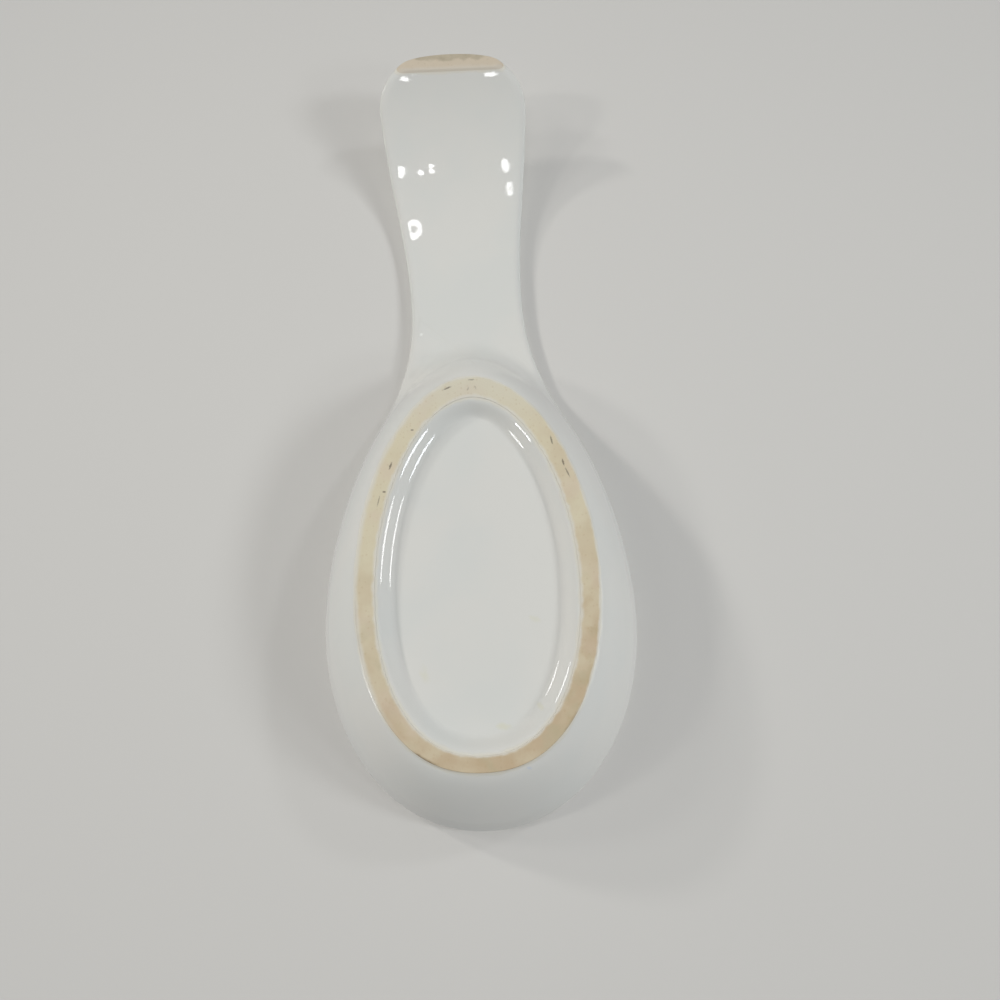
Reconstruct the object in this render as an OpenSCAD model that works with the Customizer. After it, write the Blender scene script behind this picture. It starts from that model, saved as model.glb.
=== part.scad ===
// Spoon rest in glazed porcelain: an egg-shaped dish on a bare foot ring, with a
// flat handle that widens from the neck and curls down to a bare foot of its own.
// Lengths are in millimetres. The table is z = 0, the handle points to +Y, and the
// origin is under the middle of the whole length.

/* [Overall] */
// Length from the front of the rim to the back of the curled end
rest_length = 242; // [220:1:270]
// Height of the dish's rim above the table
rim_height = 22.4; // [18:0.2:28]
// Thickness of the glaze coat
glaze_thick = 0.3; // [0.15:0.05:0.5]

/* [Dish] */
// Width across the dish's widest line
dish_width = 88.6; // [82:0.2:98]
// Distance from the front of the rim to the widest line
dish_front = 57; // [52:0.5:64]
// Distance behind the widest line at which the dish's oval would close
dish_back = 82.5; // [78:0.5:90]
// Width of the dish's wall, measured level just under its rim
dish_wall = 4.8; // [3.6:0.1:6.4]
// Thickness of the dish's floor over the well
floor_thick = 3.6; // [2.5:0.1:5]
// Height from the rim's widest line up to its top
rim_crown = 2; // [1.4:0.1:3.6]
// Level width of the rim's rounding, on its upper side
rim_round = 3; // [2:0.1:4]

/* [Foot ring] */
// Width across the ring's outer edge
ring_width = 64.6; // [56:0.2:72]
// Length over the ring's outer edge
ring_length = 107.1; // [96:0.1:112]
// Distance from the front of the rim to the front of the ring
ring_setback = 15.2; // [12:0.1:19]
// Distance from the front of the ring to its widest line
ring_front = 48.8; // [42:0.2:55]
// Width of the bare ground band
ring_band = 5.3; // [3.6:0.1:7]
// Height of the ring's bare outer side, up to where the glaze starts
ring_height = 0.8; // [0.6:0.1:1.6]
// Rounding of the ring's ground edges
ring_edge = 0.2; // [0.1:0.05:0.5]
// Depth of the well inside the ring, from the table up to its glazed floor
well_depth = 3.4; // [2.6:0.1:4.6]
// Level width of the well's glazed side, which rolls off the ring and flows into the floor
well_side = 5.2; // [3.5:0.1:6.5]
// Distance that the well lies nearer the front than the ring's outer edge
well_shift = 1.3; // [-1:0.1:2]

/* [Handle] */
// Width of the neck, the narrowest place of the handle
neck_width = 36; // [30:0.5:42]
// Distance from the front of the rim to the neck
neck_at = 156; // [150:0.5:160]
// Greatest width, over the curled end
handle_width = 49.8; // [44:0.1:58]
// Rise of the handle behind the neck, before it bends down
handle_rise = 0.5; // [0:0.1:3]
// Depth of the rounding under the handle's edges
handle_under = 1.6; // [1:0.1:2.4]
// Level width of the rounding under the handle's edges
handle_round = 2.5; // [1.5:0.5:6.5]
// Sideways drift of the handle's end, as the piece came from the kiln
handle_drift = 3.7; // [-5:0.1:5]

/* [Curled end] */
// How late the handle bends down to the table: 2 bends early, and more bends later
bend_power = 3; // [2.4:0.1:5]
// Height at which the sides start to round in towards the tip
tip_start = 8; // [6:0.1:12]
// Width of the bare tip
tip_width = 33.2; // [26:0.2:40]
// Reach of the tip's outer side behind its widest line
tip_crown = 4.7; // [3.4:0.1:6]
// Height of the bare tip, up to where the glaze starts
tip_height = 0.5; // [0.4:0.1:1.4]

/* [Hidden] */

// Colours of the glaze, the bare body and the inner clay
glaze_colour = [0.90, 0.91, 0.90];
bare_colour = [0.86, 0.77, 0.62];
clay_colour = [0.93, 0.91, 0.87];

// Exponents of the oval curves: 2 is an ellipse, and more is squarer
dish_front_power = 2.08;
dish_back_power = 1.8;
ring_front_power = 2.25;
ring_back_power = 1.9;
edge_power = 2.1;
// Exponents of the dish's outer and inner slopes, from level at the foot to steep at the rim
outer_power = 1.4;
inner_power = 1.6;

// Heights of the widest line, of the handle's flat underside and of the dish's floor
edge_height = rim_height - rim_crown;
under_height = edge_height - handle_under;
floor_height = well_depth + floor_thick;

// The dish's floor is this much narrower all round than the foot ring
floor_inset = 3;
// Level width of the rounding under the rim
rim_under_round = 2.5;
// Reach of the hollow blends under the rim, inside the rim, and under and over the neck
rim_blend = 0.5;
lip_blend = 2.5;
neck_blend = 8;
// Share of the dish's slope over which the glaze reaches its full thickness
glaze_start_share = 0.12;

// Where the oval gives way to the neck's curve, as a share of the way from the widest line
shoulder_share = 0.586;
shoulder_at = dish_front + shoulder_share * (neck_at - dish_front);
// Where the handle's drift starts, as a share of the way from the front to the neck
drift_start_share = 0.66;
drift_start = drift_start_share * neck_at;

// Where the tip's widest line meets the table, and the height that the handle bends down from
end_at = rest_length - tip_crown;
bend_height = edge_height + handle_rise;
// Where the rise ends, as a share of the way from the neck to the tip
rise_share = 0.45;

// Columns round the dish: across the neck, along one shoulder and along one side of the oval
neck_columns = 10;
shoulder_columns = 6;
side_columns = 20;
columns = neck_columns + 2 * (shoulder_columns + side_columns);
// Directions on the foot ring, from the handle's side, where the neck and the shoulder end
neck_turn = 18;
shoulder_turn = 38;

// Rows of the dish from the foot ring out to the rim, and from the rim in to the floor
outer_shares = [0, 0.1, 0.22, 0.36, 0.5, 0.64, 0.77, 0.88, 0.95, 0.985, 1];
inner_shares = [1, 0.985, 0.94, 0.87, 0.78, 0.67, 0.55, 0.42, 0.28, 0.14, 0];
// Share of a row's even place that it keeps across the neck, where the rows crowd towards the foot
crowd_share = 0.45;
// Rows of the well's side, from the bare band to the floor. The ring's clay carries the first of
// them, up to the middle one, and the dish's clay carries the rest.
well_shares = [0, 0.15, 0.32, 0.5, 0.68, 0.85, 1];
well_middle = 3;
// Stations of the handle, from the neck to the top of its bare tip
station_shares = [
    0, 0.07, 0.14, 0.21, 0.28, 0.35, 0.42, 0.49, 0.56, 0.62, 0.68,
    0.735, 0.785, 0.83, 0.87, 0.905, 0.935, 0.96, 0.98, 1
];

// The ovals, each as half width, front reach, back reach, widest line, and front and back powers
dish_oval = [dish_width / 2, dish_front, dish_back, dish_front, dish_front_power, dish_back_power];
ring_oval = [
    ring_width / 2, ring_front, ring_length - ring_front, ring_setback + ring_front,
    ring_front_power, ring_back_power
];

function blend(a, b, share) = a + (b - a) * share;
function clamp(value) = max(0, min(1, value));
function ease(value) = let (t = clamp(value)) t * t * (3 - 2 * t);
// The smaller of two heights, rounded where they lie within the given reach
function soft_min(a, b, reach) = min(a, b) - pow(max(reach - abs(a - b), 0), 2) / (4 * reach);
// Height of a rounded edge, from 0 at the edge to 1 where the rounding ends
function edge_curve(share) = pow(1 - pow(1 - clamp(share), edge_power), 1 / edge_power);

// An oval drawn in or out by a length
function oval_offset(oval, out) = [
    oval[0] + out, oval[1] + out, oval[2] + out, oval[3], oval[4], oval[5]
];

// Point of an oval at a turn from the handle's side
function oval_point(oval, turn) =
    let (
        front = cos(turn) < 0,
        power = front ? oval[4] : oval[5],
        reach = front ? oval[1] : oval[2]
    )
    [
        sign(sin(turn)) * oval[0] * pow(abs(sin(turn)), 2 / power),
        oval[3] + sign(cos(turn)) * reach * pow(abs(cos(turn)), 2 / power)
    ];

// How far a point lies outside an oval, true close to it: the oval's level less one, over its slope
function outside(oval, x, y) =
    let (
        power = y < oval[3] ? oval[4] : oval[5],
        reach = y < oval[3] ? oval[1] : oval[2],
        across = abs(x) / oval[0],
        along = abs(y - oval[3]) / reach,
        level = pow(pow(across, power) + pow(along, power), 1 / power),
        slope_x = pow(across / level, power - 1) / oval[0],
        slope_y = pow(along / level, power - 1) / reach
    )
    (level - 1) / norm([slope_x, slope_y]);

// Half width of the oval's back part at a distance from the front of the rim, and its slope there
function oval_half(oval, y) =
    oval[0] * pow(1 - pow((y - oval[3]) / oval[2], oval[5]), 1 / oval[5]);
function oval_slope(oval, y) =
    let (share = (y - oval[3]) / oval[2])
    -oval[0] / oval[2] * pow(share, oval[5] - 1)
        * pow(1 - pow(share, oval[5]), 1 / oval[5] - 1);

// Half width of the neck and handle: a cubic from the oval to the neck, then half a cosine wave
function neck_half(y) =
    let (
        run = neck_at - shoulder_at,
        t = (y - shoulder_at) / run,
        start = oval_half(dish_oval, shoulder_at),
        slope = oval_slope(dish_oval, shoulder_at)
    )
    blend(start, neck_width / 2, ease(t)) + slope * run * t * pow(1 - t, 2);
function neck_slope(y) =
    let (
        run = neck_at - shoulder_at,
        t = (y - shoulder_at) / run,
        start = oval_half(dish_oval, shoulder_at),
        slope = oval_slope(dish_oval, shoulder_at)
    )
    (neck_width / 2 - start) / run * 6 * t * (1 - t) + slope * (1 - t) * (1 - 3 * t);
function flare_half(y) =
    blend(neck_width / 2, handle_width / 2, (1 - cos(180 * clamp((y - neck_at) / (end_at - neck_at)))) / 2);

// Half width of the outline behind the widest line, drawn in by a depth, and its slope
function outline_half(y, depth) =
    y <= shoulder_at ? oval_half(oval_offset(dish_oval, -depth), y) : neck_half(y) - depth;
function outline_slope(y) = y <= shoulder_at ? oval_slope(dish_oval, y) : neck_slope(y);

// Distance in from the outline: from the oval in front of the widest line, and square to the
// side behind it
function inside(x, y, depth) =
    y <= dish_front
        ? -outside(oval_offset(dish_oval, -depth), x, y)
        : (outline_half(y, depth) - abs(x)) / norm([1, outline_slope(y)]);

// How far a place has come from the shoulder's start to the neck
function neck_share(y) = ease((y - dish_front) / (neck_at - dish_front));

// Share of the slope between the foot ring and the rim, or between the floor and the lip
function slope_share(low, high, x, y) =
    let (
        from_low = max(outside(low, x, y), 0),
        to_high = -outside(high, x, y)
    )
    from_low / (from_low + to_high);

// Height of the underside, seen from below, drawn into the piece by a depth
function underside(x, y, depth) =
    let (
        share = slope_share(oval_offset(ring_oval, -depth), oval_offset(dish_oval, -depth), x, y),
        wall = blend(ring_height, under_height, pow(share, outer_power))
            + depth * clamp(share / glaze_start_share),
        core = soft_min(wall, under_height + depth, blend(rim_blend, neck_blend, neck_share(y))),
        round = blend(rim_under_round, handle_round, neck_share(y))
    )
    blend(edge_height, core, edge_curve(inside(x, y, depth) / round));

// Height of the upper side, drawn into the piece by a depth
function upper_side(x, y, depth) =
    let (
        low = oval_offset(ring_oval, depth - floor_inset),
        high = oval_offset(dish_oval, depth - dish_wall),
        share = slope_share(low, high, x, y),
        dish = blend(floor_height, rim_height, pow(share, inner_power)) - depth,
        core = soft_min(dish, rim_height - depth, blend(lip_blend, neck_blend, neck_share(y))),
        round = blend(rim_round, neck_width / 2 - depth, neck_share(y))
    )
    blend(edge_height, core, edge_curve(inside(x, y, depth) / round));

// Sideways drift at a distance from the front of the rim
function drift(y) = handle_drift * ease((y - drift_start) / (rest_length - drift_start));

// Places across the handle, as shares of its half width, close together near the edges
across_shares = [for (i = [0 : neck_columns]) sin(90 * (2 * i / neck_columns - 1))];

// Columns run from one end of the neck, round the front and back to the neck's other end.
// Each has a turn on the foot ring and a point on the outline.
function column_turn(k) =
    k <= neck_columns ? blend(-neck_turn, neck_turn, k / neck_columns)
    : k <= neck_columns + shoulder_columns
        ? blend(neck_turn, shoulder_turn, (k - neck_columns) / shoulder_columns)
    : k <= neck_columns + shoulder_columns + side_columns
        ? blend(shoulder_turn, 180, (k - neck_columns - shoulder_columns) / side_columns)
    : -column_turn(columns + neck_columns - k);

// Turn on the dish's oval at which the shoulder starts
oval_start_turn = acos(pow((shoulder_at - dish_front) / dish_back, dish_back_power / 2));

function outline_point(k, depth) =
    k <= neck_columns ? [across_shares[k] * (neck_width / 2 - depth), neck_at]
    : k <= neck_columns + shoulder_columns
        ? let (y = blend(neck_at, shoulder_at, (k - neck_columns) / shoulder_columns))
        [neck_half(y) - depth, y]
    : k <= neck_columns + shoulder_columns + side_columns
        ? let (share = (k - neck_columns - shoulder_columns) / side_columns)
        oval_point(oval_offset(dish_oval, -depth), blend(oval_start_turn, 180, share))
    : let (twin = outline_point(columns + neck_columns - k, depth)) [-twin[0], twin[1]];

// A point in the piece's own frame, with the origin under the middle of the length
function placed(x, y, z) = [x + drift(y), y - rest_length / 2, z];

// Point on the foot ring or in the well, a length outside the ring's outer edge. The well's shift
// grows across the bare band, from the seat of the glaze to the band's inner edge.
function ring_point(k, out, z) =
    let (
        p = oval_point(oval_offset(ring_oval, out), column_turn(k)),
        shift = well_shift * clamp((-out - glaze_thick) / (ring_band - glaze_thick))
    )
    placed(p[0], p[1] - shift, z);

// Place on a column between its foot and the outline. Behind the oval, where a column runs on
// into the neck, the rows crowd towards the foot, where the slope is.
function column_place(foot, outline, share) =
    let (
        keep = blend(1, crowd_share, clamp((outline[1] - shoulder_at) / (neck_at - shoulder_at))),
        place = share * blend(keep, 1, share * share)
    )
    blend(foot, outline, place);

// Rows of points, each row once round the dish
function outer_rows(depth) = [
    for (share = outer_shares) [
        for (k = [0 : columns - 1])
            let (
                foot = oval_point(oval_offset(ring_oval, -depth), column_turn(k)),
                p = column_place(foot, outline_point(k, depth), share)
            )
            placed(p[0], p[1], share == 0 ? ring_height : underside(p[0], p[1], depth))
    ]
];
function inner_rows(depth) = [
    for (share = inner_shares) [
        for (k = [0 : columns - 1])
            let (
                foot = oval_point(oval_offset(ring_oval, depth - floor_inset), column_turn(k)),
                p = column_place(foot, outline_point(k, depth), share)
            )
            placed(p[0], p[1], share == 0 ? floor_height - depth : upper_side(p[0], p[1], depth))
    ]
];
// The well's side: half a cosine wave from the bare band's inner edge up to the floor
function well_rows(depth) = [
    for (share = well_shares) [
        for (k = [0 : columns - 1])
            ring_point(
                k,
                -ring_band - well_side * share,
                blend(ring_edge, well_depth, (1 - cos(180 * share)) / 2) + depth
            )
    ]
];
// The foot ring's section: from the seat of the glaze down the bare outer side, over the ground
// face, and up the inner side under the well's glaze
function foot_rows() =
    let (
        soft_edge = ring_edge * (1 - cos(45)),
        outs = [
            -glaze_thick, 0, 0, -soft_edge, -ring_edge,
            ring_edge - ring_band, soft_edge - ring_band, -ring_band
        ],
        heights = [
            ring_height, ring_height, ring_edge, soft_edge, 0,
            0, soft_edge, ring_edge
        ],
        under_glaze = well_rows(glaze_thick)
    )
    concat(
        [for (i = [0 : len(outs) - 1]) [for (k = [0 : columns - 1]) ring_point(k, outs[i], heights[i])]],
        [for (i = [0 : well_middle]) under_glaze[i]]
    );

// The handle's widest line, seen from the side, at a share of the way from the neck to the tip:
// its height, which rises and then falls ever more steeply, and its fall for each length along
function line_height(share) =
    (edge_height + handle_rise * ease(share / rise_share)) * (1 - pow(share, bend_power));
function line_fall(share) =
    let (
        t = clamp(share / rise_share),
        rising = handle_rise * 6 * t * (1 - t) / rise_share,
        falling = bend_power * pow(share, bend_power - 1)
    )
    (line_height(share) / (1 - pow(share, bend_power)) * falling - rising * (1 - pow(share, bend_power)))
        / (end_at - neck_at);
// Share at which the line has come down to a height near the table
function share_at(z) = pow(1 - z / bend_height, 1 / bend_power);

// Stations of the widest line: place, height, and the direction from it to the outer side, which
// turns in step with the line, from upright at the neck to level over the tip
tip_share = share_at(tip_height);
stations = [
    for (station_share = station_shares)
        let (
            share = station_share * tip_share,
            turn = 90 * atan(line_fall(share)) / atan(line_fall(tip_share))
        )
        [blend(neck_at, end_at, share), line_height(share), sin(turn), cos(turn)]
];

// Half width at a station: the flare, rounded in below the tip's start as an ellipse
tip_drop = tip_start / sqrt(1 - pow(tip_width / handle_width, 2));
function station_half(y, z) = flare_half(y) * sqrt(1 - pow(max(tip_start - z, 0) / tip_drop, 2));

// The crown over the handle, from the rim's at the neck to the tip's
function crown(y) = blend(rim_crown, tip_crown, ease((y - neck_at) / (end_at - neck_at)));

// One section of the handle, once round: the underside from edge to edge, and back over the crown
function section(at, depth, shrink = 0) =
    let (
        half = station_half(at[0], at[1]) - depth - shrink,
        under = handle_under - depth - shrink,
        over = crown(at[0]) - depth - shrink,
        last = len(across_shares) - 1
    )
    concat(
        [
            for (share = across_shares)
                let (up = -under * edge_curve((1 - abs(share)) * half / handle_round))
                placed(share * half, at[0] + at[2] * up, at[1] + at[3] * up)
        ],
        [
            for (i = [last - 1 : -1 : 1])
                let (share = across_shares[i], up = over * edge_curve(1 - abs(share)))
                placed(share * half, at[0] + at[2] * up, at[1] + at[3] * up)
        ]
    );

// Triangles between two rows of equal length, given where each row starts in the list of points.
// A closed row also joins its last point to its first. The dish's left half is cut along the
// other diagonal, so that its two sides mirror each other.
function strip(a, b, count, closed = true, first = 0) = [
    for (k = [first : count - (closed ? 1 : 2)])
        let (next = (k + 1) % count, left = count == columns && k >= (columns + neck_columns) / 2)
        each left
            ? [[a + k, a + next, b + k], [a + next, b + next, b + k]]
            : [[a + k, a + next, b + next], [a + k, b + next, b + k]]
];
function strips(start, rows, count) = [
    for (j = [0 : rows - 2]) each strip(start + j * count, start + (j + 1) * count, count)
];
// Faces turned the other way
function flipped(faces) = [for (face = faces) [face[0], face[2], face[1]]];
// A fan from a middle point over a closed row
function fan(middle, start, count) = [
    for (k = [0 : count - 1]) [middle, start + k, start + (k + 1) % count]
];
// Faces that have an area: one with two corners in the same place is left out
function sound(points, faces) = [
    for (face = faces)
        let (a = points[face[0]], b = points[face[1]], c = points[face[2]])
        if (a != b && b != c && c != a) face
];
function mean_point(row) = [
    for (axis = [0 : 2]) [for (p = row) p[axis]] * [for (p = row) 1] / len(row)
];
function flat(rows) = [for (row = rows) each row];

module solid(points, faces) {
    polyhedron(points = points, faces = sound(points, faces), convexity = 8);
}

// Clay of the dish: the well, the seat on the foot ring, the outer wall, the rim and the inside
module bowl() {
    well = well_rows(glaze_thick);
    outer = outer_rows(glaze_thick);
    inner = inner_rows(glaze_thick);
    reversed_well = [for (j = [len(well) - 1 : -1 : well_middle]) well[j]];
    rows = concat(reversed_well, outer, inner);
    count = len(rows);
    points = concat(flat(rows), [mean_point(rows[0]), mean_point(rows[count - 1])]);
    color(clay_colour)
        solid(points, concat(
            strips(0, count, columns),
            flipped(fan(count * columns, 0, columns)),
            fan(count * columns + 1, (count - 1) * columns, columns)
        ));
}

// Clay of the foot ring, with its bare ground face on the table
module foot_ring() {
    rows = foot_rows();
    count = len(rows);
    color(bare_colour)
        solid(flat(rows), concat(
            flipped(strips(0, count, columns)),
            flipped(strip((count - 1) * columns, 0, columns))
        ));
}

// Clay of the handle, from the neck down to the top of its bare foot
module handle() {
    rows = [for (at = stations) section(at, glaze_thick)];
    tube = len(rows[0]);
    count = len(rows);
    points = concat(flat(rows), [mean_point(rows[0]), mean_point(rows[count - 1])]);
    color(clay_colour)
        solid(points, concat(
            strips(0, count, tube),
            flipped(fan(count * tube, 0, tube)),
            fan(count * tube + 1, (count - 1) * tube, tube)
        ));
}

// Bare ground tip of the handle, rounded in a little to its ground face
module handle_foot() {
    soft_edge = ring_edge * (1 - cos(45));
    heights = [tip_height, ring_edge, soft_edge, 0];
    shrinks = [0, 0, soft_edge, ring_edge];
    rows = [
        for (i = [0 : 3])
            section([blend(neck_at, end_at, share_at(heights[i])), heights[i], 1, 0], 0, shrinks[i])
    ];
    tube = len(rows[0]);
    points = concat(flat(rows), [mean_point(rows[0]), mean_point(rows[3])]);
    color(bare_colour)
        solid(points, concat(
            strips(0, 4, tube),
            flipped(fan(4 * tube, 0, tube)),
            fan(4 * tube + 1, 3 * tube, tube)
        ));
}

// Glaze over the dish: outer wall, rim and inside, open at the foot ring and at the neck
module bowl_glaze() {
    outer = len(outer_shares);
    inner = len(inner_shares);
    sheet = (outer + inner) * columns;
    rim = (outer - 1) * columns;
    skins = [
        for (depth = [0, glaze_thick])
            let (rows = concat(outer_rows(depth), inner_rows(depth)))
            each concat(flat(rows), [mean_point(rows[len(rows) - 1])])
    ];
    // Faces of one skin, from the ring out, over the rim beside the neck, and in to the floor's middle
    skin = [
        for (start = [0, sheet + 1])
            concat(
                strips(start, outer, columns),
                strip(start + rim, start + rim + columns, columns, first = neck_columns),
                strips(start + rim + columns, inner, columns),
                fan(start + sheet, start + sheet - columns, columns)
            )
    ];
    color(glaze_colour)
        solid(skins, concat(
            skin[0],
            flipped(skin[1]),
            flipped(strip(0, sheet + 1, columns)),
            strip(rim, rim + sheet + 1, neck_columns + 1, closed = false),
            flipped(strip(rim + columns, rim + columns + sheet + 1, neck_columns + 1, closed = false))
        ));
}

// Glaze round the handle, open at the neck and at the bare tip
module handle_glaze() {
    rows = [for (depth = [0, glaze_thick]) [for (at = stations) section(at, depth)]];
    tube = len(rows[0][0]);
    count = len(stations);
    sheet = tube * count;
    color(glaze_colour)
        solid(concat(flat(rows[0]), flat(rows[1])), concat(
            strips(0, count, tube),
            flipped(strips(sheet, count, tube)),
            flipped(strip(0, sheet, tube)),
            strip(sheet - tube, 2 * sheet - tube, tube)
        ));
}

// Glaze in the well inside the foot ring
module well_glaze() {
    rows = [for (depth = [0, glaze_thick]) well_rows(depth)];
    count = len(well_shares);
    sheet = count * columns;
    middles = [for (skin = rows) mean_point(skin[count - 1])];
    color(glaze_colour)
        solid(concat(flat(rows[0]), flat(rows[1]), middles), concat(
            flipped(strips(0, count, columns)),
            strips(sheet, count, columns),
            strip(0, sheet, columns),
            flipped(fan(2 * sheet, sheet - columns, columns)),
            fan(2 * sheet + 1, 2 * sheet - columns, columns)
        ));
}

bowl();
foot_ring();
handle();
handle_foot();
bowl_glaze();
handle_glaze();
well_glaze();
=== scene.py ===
"""Looks of the spoon rest: a glazed porcelain dish on a bare foot ring, with a curled handle.

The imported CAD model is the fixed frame. Its glaze coats and its clay are rebuilt here as fine
surfaces on the same formulas as the CAD, and replace its nodes. The piece stands upright on its
foot ring, and the photograph shows it from below, so the camera looks up and the cloth lies
over the piece. Lengths are in millimetres until a mesh, a lamp or the camera is made. FAR is
the distance from bare clay that is given to glaze which lies well away from it, TINY only keeps
a division or a root from failing, SURROUND is how bright the world looks in the glaze, and the
gaps lie between the piece and the sheets that it stands on and that lie on it.
"""

import logging
import math
from dataclasses import dataclass, field, replace
from enum import Enum
from typing import Any

import bpy
import numpy as np
from mathutils import Matrix, Vector


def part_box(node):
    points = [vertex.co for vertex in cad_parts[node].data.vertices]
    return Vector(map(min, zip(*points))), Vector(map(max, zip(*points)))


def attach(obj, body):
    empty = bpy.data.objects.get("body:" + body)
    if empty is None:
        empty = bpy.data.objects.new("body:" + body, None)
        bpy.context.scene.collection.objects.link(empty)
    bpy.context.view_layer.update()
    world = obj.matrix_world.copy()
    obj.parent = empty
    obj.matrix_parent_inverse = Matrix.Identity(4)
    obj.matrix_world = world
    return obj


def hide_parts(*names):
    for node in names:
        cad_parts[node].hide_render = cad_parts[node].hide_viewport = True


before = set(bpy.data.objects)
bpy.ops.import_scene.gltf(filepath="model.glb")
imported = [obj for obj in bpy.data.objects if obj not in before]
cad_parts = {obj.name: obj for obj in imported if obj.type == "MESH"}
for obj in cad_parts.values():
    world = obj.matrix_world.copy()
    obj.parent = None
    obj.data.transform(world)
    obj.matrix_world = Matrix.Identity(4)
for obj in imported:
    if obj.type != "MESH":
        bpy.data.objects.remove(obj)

Array = np.ndarray
Colour = tuple[float, float, float]
Place = tuple[float, float, float]

BODY = "root"
MM = 0.001
FAR = 50.0
TINY = 1e-9
TABLE_GAP = 0.05
CLOTH_GAP = 0.1
SURROUND = 0.49
WARM: Colour = (1.0, 0.98, 0.93)
COOL: Colour = (0.95, 0.985, 1.0)
SKY: Colour = (0.88, 0.94, 1.0)
LOG = logging.getLogger("spoon_rest")


class Slot(Enum):
    """The record's material slots, one for each kind of finish."""

    GLAZE = "glaze"
    BARE = "bare_clay"
    CLAY = "inner_clay"


def blend(start: Any, end: Any, share: Any) -> Any:
    """The value at a share of the way from start to end."""
    return start + (end - start) * share


def ease(value: Array) -> Array:
    """A share of 0 to 1 that starts and ends level: three squares less two cubes."""
    held = np.clip(value, 0.0, 1.0)
    return held * held * (3.0 - 2.0 * held)


def soft_min(first: Array, second: Array, reach: Array) -> Array:
    """The smaller of two heights, rounded where they lie within the reach of each other.

    Formula: the smaller one, less the square of what is left of the reach over four reaches.

    Args:
        first: One height at each point.
        second: The other height at each point.
        reach: Difference of the heights below which they blend.

    Returns:
        The blended height at each point.
    """
    left = np.maximum(reach - np.abs(first - second), 0.0)
    return np.minimum(first, second) - left**2 / (4.0 * reach)


def wave(share: Array) -> Array:
    """A share of 0 to 1 that starts and ends level: half a cosine wave."""
    return (1.0 - np.cos(np.pi * share)) / 2


def edge_curve(share: Array, power: float = 2.1) -> Array:
    """Height of a rounded edge, from 0 at the edge to 1: a quarter of a superellipse."""
    return (1.0 - (1.0 - np.clip(share, 0.0, 1.0)) ** power) ** (1.0 / power)


@dataclass(frozen=True)
class Oval:
    """Two half superellipses, seen from above, that meet at the oval's widest line.

    Attributes:
        half: Half width at the widest line.
        front: Reach in front of the widest line.
        back: Reach behind the widest line.
        widest: Distance of the widest line from the front of the rim.
        front_power: Exponent of the front half; 2 is an ellipse, and more is squarer.
        back_power: Exponent of the back half.
    """

    half: float
    front: float
    back: float
    widest: float
    front_power: float
    back_power: float

    def grown(self, out: float) -> "Oval":
        """The oval drawn out by a length, or in by a negative one."""
        return replace(self, half=self.half + out, front=self.front + out, back=self.back + out)

    def points(self, turn: Array) -> tuple[Array, Array]:
        """Points of the oval.

        Formula: across is the half width times the sine to the power two over the exponent,
        and along is the reach times the cosine to the same power, each with its own sign.

        Args:
            turn: Turns in radians from the handle's side.

        Returns:
            The places across and along.
        """
        sine, cosine = np.sin(turn), np.cos(turn)
        ahead = cosine < 0.0
        power = np.where(ahead, self.front_power, self.back_power)
        reach = np.where(ahead, self.front, self.back)
        across = np.sign(sine) * self.half * np.abs(sine) ** (2.0 / power)
        along = np.sign(cosine) * reach * np.abs(cosine) ** (2.0 / power)
        return across, self.widest + along

    def outside(self, x: Array, y: Array) -> Array:
        """How far points lie outside the oval, true close to it.

        Formula: the oval's level at the point less one, over the level's slope there.

        Args:
            x: Places across.
            y: Places along.

        Returns:
            The distances, negative inside.
        """
        ahead = y < self.widest
        power = np.where(ahead, self.front_power, self.back_power)
        reach = np.where(ahead, self.front, self.back)
        across = np.abs(x) / self.half
        along = np.abs(y - self.widest) / reach
        level = np.maximum((across**power + along**power) ** (1.0 / power), TINY)
        slope_x = (across / level) ** (power - 1.0) / self.half
        slope_y = (along / level) ** (power - 1.0) / reach
        return (level - 1.0) / np.hypot(slope_x, slope_y)

    def half_at(self, y: Array) -> Array:
        """Half width behind the widest line: the back superellipse solved for its width."""
        share = np.clip((y - self.widest) / self.back, 0.0, 1.0)
        return self.half * (1.0 - share**self.back_power) ** (1.0 / self.back_power)

    def slope_at(self, y: Array) -> Array:
        """Slope of half_at along the length.

        Formula: the derivative of half_at's own formula.

        Args:
            y: Places along.

        Returns:
            What the half width gains for each length along.
        """
        share = np.clip((y - self.widest) / self.back, 0.0, 1.0 - TINY)
        power = self.back_power
        steep = (1.0 - share**power) ** (1.0 / power - 1.0)
        return -self.half / self.back * share ** (power - 1.0) * steep


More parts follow.
